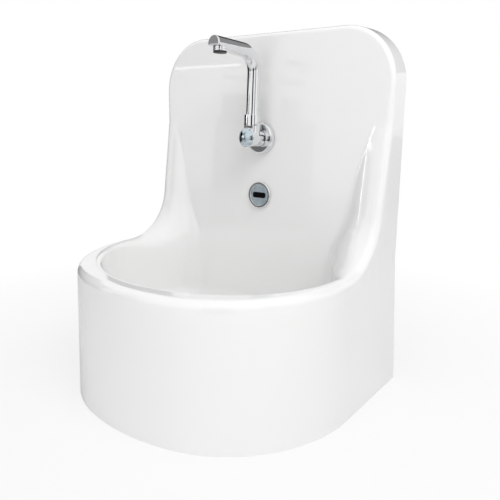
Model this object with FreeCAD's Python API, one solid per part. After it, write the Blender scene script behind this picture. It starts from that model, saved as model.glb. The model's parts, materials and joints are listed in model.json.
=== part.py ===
import FreeCAD, Part
import math
import os

# Wall-hung medical sink: one moulded shell with a bowl, a tall splashback and two wings,
# a swivelling wall spout, a sensor, and the valves, drain and rails that its hollow back holds.
# Millimetres. X runs to the viewer's right, Y into the wall, Z up.
# While it is built, the wall is y = 0 and the apron's bottom edge is z = 0.
# Each piece is then lowered so that the middle of the four wall bolts is the origin.

V = FreeCAD.Vector

# Moulded shell
width = 600.0                   # across the apron at its bottom edge
depth = 486.0                   # from the wall to the apron's front at its bottom edge
height = 708.0                  # bottom edge to the splashback's top
rim_height = 263.0              # bottom edge to the bowl's rim
side_draft = 13.0               # how far each wall comes in from the bottom edge to the rim
side_centre = 38.0              # middle plane to the centres of the sides' plan arcs
front_radius = 423.0            # plan radius of the front
top_corner_radius = 108.0       # the splashback's two top corners
skin = 7.0                      # thickness of the moulding
overrun = 5.0                   # how far every cutting shape runs past what it cuts
panel_depth = 63.0              # wall to the splashback's face at the spout
panel_lean_share = 0.065        # how far the face comes forward per length going down
wing_tip_height = 527.0         # where the wings start to stand proud of the face
wing_lean_share = 0.163         # how far the wing edge comes forward per length going down
sweep_radius = 115.0            # concave sweep from the wing to the rim
rim_width = 39.0                # rim at the front
side_rim_width = 28.0           # rim at the sides
flare_angle = 30.0              # plan angle of those walls
inset_taper_share = 0.01        # that inset's loss per height above the rim
bowl_draft_share = 0.12         # slope of the bowl's walls
bowl_side_share = 0.53          # bowl's side radius over its length
bowl_front_share = 0.6225       # how far its front goes past the side arcs' centres, over its length
bowl_slim_share = 0.7275        # least half width over the length that these arcs go by
bowl_corner_radius = 42.0       # bowl's back corners at the rim's height
crease_radius = 3.0             # the same corners at the wing tip
corner_limit_share = 0.95       # most of a flared wall that its corner arc may take
floor_height = 95.0             # bottom edge to the bowl's floor
floor_round = 55.0              # between the floor and the walls
dish_radius = 100.0             # shallow cone that leads to the drain
dish_depth = 5.0
drain_distance = 252.0          # wall to the drain's middle

# Rails that hang the shell on the wall
rail_height = 50.0
rail_thickness = 6.0
lower_rail_height = 320.0       # bottom edge to the lower rail's middle
upper_rail_drop = 138.0         # splashback's top to the upper rail's middle
bolt_spread = 400.0             # between the two columns of wall bolts
bolt_hole_radius = 5.5
tab_thickness = 4.0
tab_depth = 34.0

# Spout
spout_height = 494.0            # bottom edge to the spout's flange
flange_radius = 32.5
flange_height = 12.0
flange_wall = 2.0
flange_round = 4.0
gasket_thickness = 1.5
gasket_margin = 1.5             # flat gaskets end this far inside what they seal
body_radius = 17.5
body_length = 52.0              # splashback's face to the body's front
shank_radius = 10.4
shank_length = 38.0
shank_hole_clearance = 0.8
thread_clearance = 0.1          # between a thread and its nut
running_clearance = 0.05        # round what turns
loose_clearance = 0.3           # round what only has to clear
water_radius = 6.5
chamber_floor = 12.0            # splashback's face to the floor of the cartridge's chamber
cartridge_radius = 13.9
cartridge_setback = 1.0         # cartridge ends behind the body's front
cartridge_inlet = 6.0           # depth of the water's way into the cartridge
riser_offset = 39.0             # splashback's face to the riser's axis
riser_radius = 14.0
tube_wall = 2.5
boss_radius = 17.0
boss_height = 24.0              # body's axis to the collar's seat
neck_radius = 15.1
neck_height = 14.0
bush_thickness = 1.5
shoulder_radius = 14.8
shoulder_height = 4.0
tail_radius = 10.4
tail_length = 24.0
seal_width = 3.0
seal_depth = 1.9
seal_pitch = 7.0
tail_seal_share = 0.3           # first seal's place along the tail
collar_radius = 17.5
collar_lip = 3.2
grub_radius = 1.5
arm_height = 169.0              # body's axis to the arm's axis
bend_radius = 40.0
arm_reach = 128.0               # riser's axis to the arm's end
flat_start = 42.0               # riser's axis to where the arm's flat underside starts
tip_height = 18.0               # arm's height at its end
aerator_setback = 18.5          # arm's end to the aerator's axis
aerator_drop = 9.0              # arm's axis to the aerator's seat
stub_radius = 13.2
aerator_radius = 13.5
aerator_height = 3.5            # ring below its seat
aerator_spigot = 5.0
aerator_wall = 2.0
nozzle_radius = 12.7            # insert's rim under the ring
nozzle_height = 3.0
aerator_lip = 1.0               # how far the washer laps over the insert
aerator_seal = 1.5
jet_radius = 0.9
jet_circle_shares = (0.34, 0.7)  # jets' circles over the insert's radius
jet_counts = (6, 12)

# Front knob
knob_radius = 20.0
knob_gap = 0.6
knob_round = 2.5
knob_skirt = 4.5
knob_dome = 7.5
knob_wall = 2.0
knob_hub_radius = 7.0
knob_hollow = 3.0
spindle_radius = 4.0
spindle_length = 40.0
spindle_grip = 9.4              # how much of the spindle the knob holds

# Back of the spout
back_washer_radius = 20.0
back_washer_thickness = 2.0
back_nut_flats = 32.0
back_nut_height = 9.0
elbow_radius = 13.0
elbow_seat = 8.0                # how far the elbow holds the shank's end
elbow_drop = 28.0               # shank's axis to the elbow's lower end
feed_thread_radius = 9.0

# Sensor
sensor_drop = 121.0             # spout's flange to the sensor's middle
sensor_radius = 29.0
sensor_gasket_thickness = 1.0
bezel_height = 4.5
bezel_round = 2.0
face_radius = 22.5
face_thickness = 1.5
face_setback = 1.2              # face behind the bezel's front
window_width = 34.0
window_height = 12.4
window_round = 5.0
window_proud = 0.4
barrel_radius = 20.0
barrel_length = 34.0
barrel_hole_clearance = 0.8
ring_nut_radius = 27.0
ring_nut_height = 8.0
ring_nut_notch = 6.0
ring_nut_notches = 6
gland_radius = 4.0
gland_length = 6.0
gland_setback = 8.0             # gland's axis before the barrel's end

# Control box
box_width = 100.0
box_height = 96.0
box_depth = 38.0
box_wall = 2.5
box_left = 190.0                # middle plane to the box's far side
box_drop = 16.0                 # lower rail's middle to the box's underside
lid_thickness = 3.0
screw_radius = 2.0
screw_head_radius = 3.6
screw_head_height = 2.2
lid_screw_length = 12.0
post_radius = 4.5
board_thickness = 1.6
board_standoff = 16.0           # box's inner back to the board
board_margin = 1.0
battery_width = 60.0
battery_height = 34.0
battery_depth = 14.0

# Mixing valve and solenoid
valve_side = 75.0               # middle plane to the valves
valve_setback = 36.0            # wall to the valves' axes
valve_drop = 304.0              # spout's flange to the mixing valve's axis
valve_radius = 17.0
valve_length = 84.0
valve_boss_radius = 12.0
valve_boss = 4.0                # how far the valve's flat bosses stand out
inlet_radius = 12.0
inlet_length = 10.0
union_flats = 34.0
union_height = 14.0
union_lap = 4.0                 # how much of the elbow's collar the union holds
elbow_arm = 20.0                # valve's inlet to the supply elbow's axis
supply_radius = 10.5            # thread that takes the building's pipe
supply_thread = 18.0
elbow_tube_radius = 9.5
outlet_radius = 9.0
nipple_length = 16.0
solenoid_radius = 15.0
solenoid_height = 40.0
solenoid_outlet = 12.0
coil_radius = 13.0
coil_length = 30.0
coil_neck_radius = 6.0
coil_neck = 3.0
feed_radius = 5.0
feed_wall = 1.0
feed_bore_radius = 3.5          # of the fittings that the feed pipe's ends sit on
feed_nut_flats = 22.0
feed_nut_height = 14.0
feed_nut_grip = 4.0             # part of the nut that goes round the feed pipe
feed_run = 60.0                 # how far the feed pipe's route runs straight from each end
bend_run_share = 0.45           # how much of the shorter run each bend of the feed pipe takes
dial_radius = 14.0
dial_height = 20.0
dial_gap = 1.0
dial_flutes = 12
dial_flute_radius = 1.6
stem_radius = 5.0
stem_length = 12.0
bracket_width = 36.0
bracket_thickness = 3.0
saddle_height = 14.0
saddle_width = 30.0
bracket_screw_spread = 20.0

# Drain and trap
drain_flange_radius = 36.0
drain_flange_thickness = 4.0
drain_sink = 2.5                # how far the flange is let into the floor
drain_thread_radius = 23.0
drain_bore_radius = 19.0
drain_length = 44.0             # flange's top to the thread's lower end
strainer_radius = 29.0
strainer_thickness = 2.0
strainer_hole_radius = 3.0
strainer_counts = (6, 12)
strainer_circle_shares = (0.4, 0.76)
drain_seal_thickness = 3.0
drain_nut_flats = 64.0
drain_nut_height = 10.0
trap_radius = 52.0
trap_bottom = 10.0
trap_wall = 3.0
trap_neck_radius = 28.0
trap_neck_height = 5.0
trap_seal_height = 3.0
dip_wall = 1.6
dip_clear = 14.0                # trap's floor to the dip tube's lower end
dip_lip = 2.0                   # height and overhang of the dip tube's lip
outlet_height = 40.0            # bottom edge to the waste pipe's axis
pipe_radius = 20.0
pipe_wall = 2.0
stub_wall = 3.0
stub_length = 26.0
pipe_seat = 20.0                # how far the waste pipe goes into the trap's outlet
socket_depth = 50.0             # how far the waste pipe goes into the wall's socket
mark_width = 3.0                # ring groove that marks this depth
mark_depth = 0.6
slip_nut_radius = 29.0
slip_nut_height = 16.0
slip_nut_lip = 3.0
slip_seal_height = 4.0
slip_ribs = 12
slip_rib_radius = 2.0


def cylinder(radius, length, start, way):
    return Part.makeCylinder(radius, length, start, way)


def tube(outer, inner, length, start, way):
    """A ring or tube: its bore runs past both ends."""
    bore = cylinder(inner, length + 2 * overrun, start - way * overrun, way)
    return cylinder(outer, length, start, way).cut(bore)


def hexagon(flats, length, start, way):
    """A six-sided prism whose flats are that far apart."""
    radius = flats / math.sqrt(3.0)
    corners = [V(radius * math.cos(k * math.pi / 3), radius * math.sin(k * math.pi / 3), 0) for k in range(7)]
    prism = Part.Face(Part.makePolygon(corners)).extrude(V(0, 0, length))
    prism.Placement = FreeCAD.Placement(start, FreeCAD.Rotation(V(0, 0, 1), way))
    return prism


def hexagon_nut(flats, bore, length, start, way):
    hole = cylinder(bore, length + 2 * overrun, start - way * overrun, way)
    return hexagon(flats, length, start, way).cut(hole)


def block(x0, x1, y0, y1, z0, z1):
    return Part.makeBox(x1 - x0, y1 - y0, z1 - z0, V(x0, y0, z0))


def prism(points, way):
    """A closed outline of points, extruded along way."""
    return Part.Face(Part.makePolygon(points + points[:1])).extrude(way)


def spun(edges, start, way):
    """A closed outline of edges, turned all round the axis."""
    return Part.Face(Part.Wire(Part.__sortEdges__(edges))).revolve(start, way, 360)


def line(a, b):
    return Part.LineSegment(a, b).toShape()


def arc(centre, radius, start_angle, end_angle, z):
    """A level arc given by its centre, radius and two angles in radians."""
    def at(angle):
        return V(centre[0] + radius * math.cos(angle), centre[1] + radius * math.sin(angle), z)
    return Part.Arc(at(start_angle), at((start_angle + end_angle) / 2), at(end_angle)).toShape()


lean = math.degrees(math.atan(panel_lean_share))
draft_share = side_draft / rim_height
upper_width = width - 2 * side_draft
side_radius = width / 2 - side_centre
sensor_height = spout_height - sensor_drop
valve_height = spout_height - valve_drop
box_bottom = lower_rail_height - box_drop
upper_rail_height = height - upper_rail_drop
UP, DOWN, RIGHT, LEFT, IN, OUT = V(0, 0, 1), V(0, 0, -1), V(1, 0, 0), V(-1, 0, 0), V(0, 1, 0), V(0, -1, 0)


def panel_at(z):
    """Wall to the splashback's face at a height."""
    return panel_depth + panel_lean_share * (spout_height - z)


def wing_at(z):
    """Wall to the wing's front edge at a height below its tip."""
    return panel_at(wing_tip_height) + wing_lean_share * (wing_tip_height - z)


def on_panel(shape, z):
    """Places a piece made about its own Z axis: Z then stands square on the splashback, Y points up it."""
    placed = shape.copy()
    place = FreeCAD.Placement(V(0, -panel_at(z), z), FreeCAD.Rotation(RIGHT, 90 - lean))
    placed.Placement = place.multiply(placed.Placement)
    return placed


# Moulded shell

def apron_outline(z, inset):
    """Plan of the outside at a height: straight sides, a side arc each and one front arc, all tangent."""
    shrink = draft_share * z + inset
    half, reach = width / 2 - shrink, depth - shrink
    side, front = side_radius - shrink, front_radius - shrink
    offset = half - side
    straight = reach - front + math.sqrt((front - side) ** 2 - offset ** 2)
    turn = math.atan2(front - reach + straight, offset)
    middle = (0, front - reach)
    right, left = (offset, -straight), (-offset, -straight)
    back = overrun if inset else 0
    edges = [line(V(-half, back, z), V(half, back, z)), line(V(half, back, z), V(half, -straight, z)),
             arc(right, side, 0, -turn, z), arc(middle, front, -turn, turn - math.pi, z),
             arc(left, side, turn - math.pi, -math.pi, z), line(V(-half, -straight, z), V(-half, back, z))]
    return Part.Wire(edges)


def side_profile(inset):
    """The outside seen from the side: splashback, wing, concave sweep and rim, drawn in by an inset."""
    tilt = math.atan(wing_lean_share)
    rim, top = rim_height - inset, height - inset
    sweep = sweep_radius + inset
    centre_z = rim_height + sweep_radius
    centre_y = -wing_at(centre_z) - sweep_radius / math.cos(tilt)
    back = overrun if inset else 0
    foot = -overrun if inset else 0
    tip = V(0, -panel_at(wing_tip_height) + inset, wing_tip_height)
    wing = V(0, centre_y + sweep * math.cos(tilt), centre_z - sweep * math.sin(tilt))
    half_turn = (math.pi / 2 - tilt) / 2
    middle = V(0, centre_y + sweep * math.sin(half_turn), centre_z - sweep * math.cos(half_turn))
    start = V(0, centre_y, centre_z - sweep)
    front = -depth - overrun
    crest = V(0, -panel_at(top) + inset, top)
    edges = [line(V(0, back, foot), V(0, front, foot)), line(V(0, front, foot), V(0, front, rim)),
             line(V(0, front, rim), start), Part.Arc(start, middle, wing).toShape(), line(wing, tip),
             line(tip, crest), line(crest, V(0, back, top)), line(V(0, back, top), V(0, back, foot))]
    face = Part.Face(Part.Wire(edges))
    face.translate(LEFT * width)
    return face.extrude(RIGHT * 2 * width)


def front_outline(inset):
    """The outside seen from the front: a tall plate with two round top corners."""
    half, top, radius = width, height - inset, top_corner_radius - inset
    edge = upper_width / 2 - inset
    shoulder = rim_height
    plate = prism([V(-half, overrun, -overrun), V(half, overrun, -overrun), V(half, overrun, shoulder),
                   V(edge, overrun, shoulder), V(edge, overrun, top), V(-edge, overrun, top),
                   V(-edge, overrun, shoulder), V(-half, overrun, shoulder)], OUT * (depth + 2 * overrun))
    corners = [e for e in plate.Edges
               if e.BoundBox.ZMin > top - radius and e.BoundBox.YLength > depth]
    return plate.makeFillet(radius, corners)


def solid_outside(inset):
    """The outside as a solid block, drawn in by an inset and then open to the wall and the floor."""
    foot = -overrun if inset else 0
    lower = Part.makeLoft([apron_outline(foot, inset), apron_outline(rim_height, inset)], True, True)
    upper = Part.Face(apron_outline(rim_height, inset)).extrude(UP * (height - rim_height))
    column = lower.fuse(upper)
    return column.common(side_profile(inset)).common(front_outline(inset))


def bowl_plan():
    """At the rim: radius of the bowl's side arcs, and how far its side walls come in towards the splashback."""
    flare = math.radians(flare_angle)
    reach = depth - draft_share * rim_height - rim_width
    length = min(reach - panel_at(rim_height), (upper_width / 2 - side_rim_width) / bowl_slim_share)
    side = bowl_side_share * length
    ahead = reach - bowl_front_share * length - panel_at(rim_height)
    return side, side * (1 - math.cos(flare)) + (ahead - side * math.sin(flare)) * math.tan(flare)


def bowl_outline(z, grow):
    """Plan of the bowl at a height: the splashback's line, corner arcs, flared walls, side arcs, front arc."""
    rise = z - rim_height
    flare = math.radians(flare_angle)
    back = panel_at(z) - grow
    reach = depth - draft_share * rim_height - rim_width + bowl_draft_share * rise + grow
    half = upper_width / 2 - side_rim_width + bowl_draft_share * rise + grow
    rim_side, rim_inset = bowl_plan()
    inset = rim_inset - inset_taper_share * max(rise, 0)
    side = rim_side - bowl_draft_share * abs(rise) + grow
    foot = half - grow - inset + grow * (1 - math.sin(flare)) / math.cos(flare)
    run = (half - foot - side * (1 - math.cos(flare))) / math.sin(flare)
    bevel = math.tan((math.pi / 2 - flare) / 2)
    corner_rate = (crease_radius - bowl_corner_radius) / (wing_tip_height - rim_height)
    corner = min(bowl_corner_radius + corner_rate * rise + grow, corner_limit_share * run / bevel)
    side_x = half - side
    side_y = -back - run * math.cos(flare) - side * math.sin(flare)
    ahead = side_y + reach
    front = (side_x ** 2 + ahead ** 2 - side ** 2) / (2 * (ahead - side))
    front_y = front - reach
    turn = math.atan2(front_y - side_y, side_x)
    cut = corner * bevel
    corner_x, corner_y = foot - cut, -back - corner
    left = -math.pi
    edges = [line(V(-corner_x, -back, z), V(corner_x, -back, z)),
             arc((corner_x, corner_y), corner, math.pi / 2, flare, z),
             line(V(foot + cut * math.sin(flare), -back - cut * math.cos(flare), z),
                  V(foot + run * math.sin(flare), -back - run * math.cos(flare), z)),
             arc((side_x, side_y), side, flare, -turn, z),
             arc((0, front_y), front, -turn, turn + left, z),
             arc((-side_x, side_y), side, turn + left, left - flare, z),
             line(V(-foot - run * math.sin(flare), -back - run * math.cos(flare), z),
                  V(-foot - cut * math.sin(flare), -back - cut * math.cos(flare), z)),
             arc((-corner_x, corner_y), corner, left - flare, left - math.pi / 2, z)]
    return Part.Wire(edges)


def bowl_inside(grow):
    """The bowl's hollow up to the wing tips, grown outwards by the skin for its underside."""
    floor = floor_height - grow
    top = wing_tip_height + overrun
    hollow = Part.makeLoft([bowl_outline(z, grow) for z in (floor, rim_height, top)], True, True)
    low = [e for e in hollow.Edges if e.BoundBox.ZMax < floor + skin]
    hollow = hollow.makeFillet(floor_round + grow, low)
    dish = Part.makeCone(drain_flange_radius, dish_radius, dish_depth,
                         V(0, -drain_distance, floor - dish_depth), UP)
    return hollow.fuse(dish)


def sink_shell():
    """The whole moulding: outside and bowl, hollow behind and below, with its three holes."""
    hollow = solid_outside(skin).cut(bowl_inside(skin))
    shell = solid_outside(0).cut(hollow).cut(bowl_inside(0))
    recess = cylinder(drain_flange_radius + loose_clearance, dish_depth + drain_sink,
                      drain_place + UP * flange_low, UP)
    hole = cylinder(drain_thread_radius + loose_clearance, 2 * skin + overrun,
                    drain_place + UP * (floor_low - 2 * skin), UP)
    shank = on_panel(cylinder(shank_radius + shank_hole_clearance, 2 * skin + overrun, DOWN * 2 * skin, UP),
                     spout_height)
    barrel = on_panel(cylinder(barrel_radius + barrel_hole_clearance, 2 * skin + overrun, DOWN * 2 * skin, UP),
                      sensor_height)
    return shell.cut(recess).cut(hole).cut(shank).cut(barrel)


# Rails

side_face = upper_width / 2 - skin      # inside of the shell's upright sides
box_right = box_width - box_left
box_screw_height = (box_bottom + lower_rail_height + rail_height / 2) / 2
box_screw_places = [V(x, 0, box_screw_height) for x in (-box_left + box_width / 4, box_right - box_width / 4)]
bracket_screw_places = [V(valve_side + side * bracket_screw_spread / 2, 0, lower_rail_height)
                        for side in (-1, 1)]


def rail(middle, fixings):
    """A flat bar on the wall with a tab at each end, bonded to the shell's sides."""
    low, high = middle - rail_height / 2, middle + rail_height / 2
    bar = block(-side_face, side_face, -rail_thickness, 0, low, high)
    for side in (-1, 1):
        edge = sorted((side * side_face, side * (side_face - tab_thickness)))
        bar = bar.fuse(block(edge[0], edge[1], -rail_thickness - tab_depth, -rail_thickness, low, high))
        hole = V(side * bolt_spread / 2, overrun, middle)
        bar = bar.cut(cylinder(bolt_hole_radius, rail_thickness + 2 * overrun, hole, OUT))
    for place in fixings:
        bar = bar.cut(cylinder(screw_radius + thread_clearance, rail_thickness + 2 * overrun,
                               place + IN * overrun, OUT))
    return bar.removeSplitter()


def screw(place, length, way):
    """A small screw: its head stands on the place, its shank runs along way."""
    head = cylinder(screw_head_radius, screw_head_height, place - way * screw_head_height, way)
    return head.fuse(cylinder(screw_radius, length, place, way))


def rail_screws(places, plate):
    """Screws through a plate of that thickness into the lower rail."""
    length = plate + rail_thickness - loose_clearance
    return Part.makeCompound([screw(place + OUT * (rail_thickness + plate), length, IN) for place in places])


# Spout, made about the splashback's own axes: X right, Y up the face, Z off the face

RISE, OFF, BACK = V(0, 1, 0), V(0, 0, 1), V(0, 0, -1)
panel_back = skin * math.cos(math.radians(lean))
neck_top = boss_height + neck_height
shoulder_low = neck_top + bush_thickness
riser_low = shoulder_low + shoulder_height
collar_inside = riser_low + loose_clearance
tail_low = shoulder_low - tail_length
knob_low = body_length + knob_gap
aerator_place = riser_offset + arm_reach - aerator_setback
aerator_seat = arm_height - aerator_drop
stub_bore = aerator_radius - aerator_wall
spigot_radius = stub_bore - thread_clearance
insert_bore = spigot_radius - aerator_wall
seal_places = [tail_low + tail_seal_share * tail_length + k * seal_pitch for k in range(2)]


def flange_gasket():
    return tube(flange_radius - gasket_margin, shank_radius + shank_hole_clearance, gasket_thickness, V(), OFF)


def spout_flange():
    """A shallow cup over the hole in the splashback."""
    cup = cylinder(flange_radius, flange_height, OFF * gasket_thickness, OFF)
    cup = cup.makeFillet(flange_round, [e for e in cup.Edges if e.BoundBox.ZMin > flange_height])
    inside = cylinder(flange_radius - flange_wall, flange_height - flange_wall, OFF * gasket_thickness, OFF)
    inside = inside.makeFillet(flange_round - flange_wall,
                               [e for e in inside.Edges if e.BoundBox.ZMin > flange_wall])
    return cup.cut(inside).cut(cylinder(body_radius + loose_clearance, flange_height + overrun, OFF, OFF))


def spout_body():
    """Turned body with its threaded shank behind and the riser's socket on top."""
    solid = cylinder(body_radius, body_length - gasket_thickness, OFF * gasket_thickness, OFF)
    solid = solid.fuse(cylinder(shank_radius, shank_length + gasket_thickness, BACK * shank_length, OFF))
    riser = OFF * riser_offset
    solid = solid.fuse(cylinder(boss_radius, boss_height, riser, RISE))
    solid = solid.fuse(cylinder(neck_radius, neck_top, riser, RISE))
    chamber = cylinder(cartridge_radius + thread_clearance, body_length, OFF * chamber_floor, OFF)
    bore = cylinder(water_radius, shank_length + chamber_floor + overrun, BACK * (shank_length + overrun), OFF)
    socket = cylinder(tail_radius + running_clearance, neck_top + overrun, riser, RISE)
    flat = block(-body_radius, body_radius, -body_radius, boss_height, body_length, body_length + body_radius)
    return solid.cut(chamber).cut(bore).cut(socket).cut(flat)


def valve_cartridge():
    """Stands on the chamber's floor; the water enters behind and leaves upwards."""
    length = body_length - cartridge_setback - chamber_floor
    solid = cylinder(cartridge_radius, length, OFF * chamber_floor, OFF)
    solid = solid.cut(cylinder(water_radius, cartridge_inlet, OFF * chamber_floor, OFF))
    seat = knob_low + spindle_grip - spindle_length - loose_clearance
    solid = solid.cut(cylinder(spindle_radius + running_clearance, body_length, OFF * seat, OFF))
    return solid.cut(cylinder(water_radius, cartridge_radius + overrun, OFF * riser_offset, RISE))


def knob_spindle():
    return cylinder(spindle_radius, spindle_length, OFF * (knob_low + spindle_grip - spindle_length), OFF)


def front_knob():
    """A domed knob: a straight skirt under part of a ball, hollow round its hub."""
    edge, top = knob_low + knob_skirt, knob_low + knob_skirt + knob_dome
    ball = (knob_radius ** 2 + knob_dome ** 2) / (2 * knob_dome)
    half_turn = math.asin(knob_radius / ball) / 2
    middle = V(ball * math.sin(half_turn), 0, top - ball + ball * math.cos(half_turn))
    outline = [line(V(0, 0, knob_low), V(knob_radius, 0, knob_low)),
               line(V(knob_radius, 0, knob_low), V(knob_radius, 0, edge)),
               Part.Arc(V(knob_radius, 0, edge), middle, V(0, 0, top)).toShape(),
               line(V(0, 0, top), V(0, 0, knob_low))]
    knob = spun(outline, V(), OFF)
    knob = knob.makeFillet(knob_round, [e for e in knob.Edges if abs(e.BoundBox.ZMin - edge) < knob_gap
                                        and e.BoundBox.ZLength < knob_gap])
    hollow = cylinder(knob_radius - knob_wall, knob_hollow, OFF * knob_low, OFF)
    hollow = hollow.cut(cylinder(knob_hub_radius, knob_hollow, OFF * knob_low, OFF))
    bore = cylinder(spindle_radius + running_clearance, spindle_grip + knob_gap, OFF * body_length, OFF)
    return knob.cut(hollow).cut(bore)


def swivel_collar():
    top = collar_inside + collar_lip
    riser = OFF * riser_offset
    collar = cylinder(collar_radius, top - boss_height, riser + RISE * boss_height, RISE)
    collar = collar.cut(cylinder(neck_radius + thread_clearance, collar_inside, riser, RISE))
    collar = collar.cut(cylinder(riser_radius + running_clearance, top + overrun, riser, RISE))
    return collar.cut(cylinder(grub_radius + thread_clearance, collar_radius + overrun, grub_place(), RIGHT))


def grub_place():
    return OFF * riser_offset + RISE * (boss_height + neck_height / 2)


def collar_screw():
    return cylinder(grub_radius, collar_radius - neck_radius, grub_place() + RIGHT * neck_radius, RIGHT)


def swivel_bush():
    return tube(neck_radius, tail_radius + loose_clearance, bush_thickness,
                OFF * riser_offset + RISE * neck_top, RISE)


def seal_ring(outer, inner, y):
    return tube(outer, inner, seal_width, OFF * riser_offset + RISE * y, RISE)


def spout_seals():
    inner = tail_radius - seal_depth + running_clearance
    return Part.makeCompound([seal_ring(tail_radius, inner, y) for y in seal_places])


def spout_run(radius, wall):
    """Riser, bend and arm of one radius; the arm's underside slopes up to its low end."""
    bend_y, bend_z = arm_height - bend_radius, riser_offset + bend_radius
    riser = cylinder(radius, bend_y - riser_low, V(0, riser_low, riser_offset), RISE)
    disc = Part.Face(Part.Wire(Part.makeCircle(radius, V(0, bend_y, riser_offset), RISE)))
    bend = disc.revolve(V(0, bend_y, bend_z), RIGHT, 90)
    arm = cylinder(radius, arm_reach - bend_radius - wall, V(0, arm_height, bend_z), OFF)
    start, end = riser_offset + flat_start, riser_offset + arm_reach
    low = arm_height - riser_radius + wall
    rise = 2 * riser_radius - tip_height
    below = arm_height - 2 * riser_radius
    wedge = prism([V(-body_radius, low, start), V(-body_radius, low + rise, end),
                   V(-body_radius, low + rise, end + overrun), V(-body_radius, below, end + overrun),
                   V(-body_radius, below, start)], RIGHT * 2 * body_radius)
    return riser.fuse(bend).fuse(arm).cut(wedge)


def spout_tube():
    """The swivelling tube with its tail, its shoulder and the aerator's socket."""
    base = OFF * riser_offset
    place = V(0, aerator_seat, aerator_place)
    tail = cylinder(tail_radius, tail_length, base + RISE * tail_low, RISE)
    shoulder = cylinder(shoulder_radius, shoulder_height, base + RISE * shoulder_low, RISE)
    solid = spout_run(riser_radius, 0).fuse(tail).fuse(shoulder)
    solid = solid.fuse(cylinder(stub_radius, aerator_drop, place, RISE))
    for y in seal_places:
        solid = solid.cut(seal_ring(tail_radius + overrun, tail_radius - seal_depth, y))
    solid = solid.cut(spout_run(riser_radius - tube_wall, tube_wall))
    solid = solid.cut(cylinder(water_radius, tail_length + shoulder_height + overrun,
                               base + RISE * (tail_low - overrun / 2), RISE))
    return solid.cut(cylinder(stub_bore, aerator_drop + overrun, place - RISE * overrun, RISE))


def aerator_housing():
    seat = V(0, aerator_seat, aerator_place)
    ring = cylinder(aerator_radius, aerator_height, seat - RISE * aerator_height, RISE)
    ring = ring.fuse(cylinder(spigot_radius, aerator_spigot, seat, RISE))
    return ring.cut(cylinder(insert_bore, aerator_height + aerator_spigot + 2 * overrun,
                             seat - RISE * (aerator_height + overrun), RISE))


def aerator_insert():
    """A plug with a rim under the ring and two circles of jets."""
    radius = insert_bore - running_clearance
    length = nozzle_height + aerator_height + aerator_spigot
    start = V(0, aerator_seat - aerator_height - nozzle_height, aerator_place)
    plug = cylinder(radius, length, start, RISE).fuse(cylinder(nozzle_radius, nozzle_height, start, RISE))
    for count, share in zip(jet_counts, jet_circle_shares):
        for k in range(count):
            angle = 2 * math.pi * k / count
            jet = V(share * radius * math.cos(angle), 0, share * radius * math.sin(angle))
            plug = plug.cut(cylinder(jet_radius, length + 2 * overrun, start + jet - RISE * overrun, RISE))
    return plug


def aerator_washer():
    return tube(spigot_radius, insert_bore - aerator_lip, aerator_seal,
                V(0, aerator_seat + aerator_spigot, aerator_place), RISE)


def shank_washer():
    return tube(back_washer_radius, shank_radius + loose_clearance, back_washer_thickness,
                BACK * (panel_back + back_washer_thickness), OFF)


def shank_nut():
    low = panel_back + back_washer_thickness + back_nut_height
    return hexagon_nut(back_nut_flats, shank_radius + thread_clearance, back_nut_height, BACK * low, OFF)


elbow_axis = shank_length + feed_thread_radius - running_clearance


def shank_elbow():
    """Screws on the shank's end and turns the water's way down to the feed pipe."""
    end = elbow_axis + feed_thread_radius
    solid = cylinder(elbow_radius, end - shank_length + elbow_seat, BACK * end, OFF)
    solid = solid.fuse(cylinder(feed_thread_radius, elbow_drop, BACK * elbow_axis, -RISE))
    solid = solid.cut(cylinder(shank_radius + thread_clearance, elbow_seat + overrun, BACK * shank_length, OFF))
    solid = solid.cut(cylinder(water_radius, end - shank_length, BACK * elbow_axis, OFF))
    return solid.cut(cylinder(feed_bore_radius, elbow_drop + overrun, BACK * elbow_axis, -RISE))


# Sensor, made about the same axes

bezel_top = sensor_gasket_thickness + bezel_height
face_top = bezel_top - face_setback
face_low = face_top - face_thickness


def sensor_gasket():
    return tube(sensor_radius - gasket_margin, barrel_radius + barrel_hole_clearance, sensor_gasket_thickness,
                V(), OFF)


def sensor_bezel():
    ring = cylinder(sensor_radius, bezel_height, OFF * sensor_gasket_thickness, OFF)
    ring = ring.makeFillet(bezel_round, [e for e in ring.Edges if e.BoundBox.ZMin > bezel_height])
    return ring.cut(cylinder(face_radius + loose_clearance, bezel_height + 2 * overrun, BACK * overrun, OFF))


def rounded_bar(length, breadth, radius, thickness, z):
    """A level plate with four round corners."""
    plate = block(-length / 2, length / 2, -breadth / 2, breadth / 2, z, z + thickness)
    return plate.makeFillet(radius, [e for e in plate.Edges if e.BoundBox.ZLength > thickness / 2])


def sensor_face():
    disc = cylinder(face_radius, face_thickness, OFF * face_low, OFF)
    return disc.cut(rounded_bar(window_width, window_height, window_round, face_thickness, face_low))


def sensor_window():
    gap = 2 * thread_clearance
    return rounded_bar(window_width - gap, window_height - gap, window_round - thread_clearance,
                       face_thickness + window_proud, face_low)


def sensor_barrel():
    """Threaded barrel with a head under the face and a gland at its side for the cable."""
    head = cylinder(face_radius, face_low - sensor_gasket_thickness, OFF * sensor_gasket_thickness, OFF)
    solid = head.fuse(cylinder(barrel_radius, barrel_length + sensor_gasket_thickness,
                               BACK * barrel_length, OFF))
    gland = cylinder(gland_radius, barrel_radius + gland_length, BACK * (barrel_length - gland_setback), LEFT)
    return solid.fuse(gland)


def sensor_nut():
    """A round nut with notches for a spanner."""
    low = panel_back + ring_nut_height
    nut = tube(ring_nut_radius, barrel_radius + thread_clearance, ring_nut_height, BACK * low, OFF)
    for k in range(ring_nut_notches):
        notch = block(ring_nut_radius - ring_nut_notch / 2, ring_nut_radius + overrun, -ring_nut_notch / 2,
                      ring_nut_notch / 2, -low, -panel_back)
        notch.rotate(V(), OFF, 360 * k / ring_nut_notches)
        nut = nut.cut(notch)
    return nut


# Control box

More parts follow.
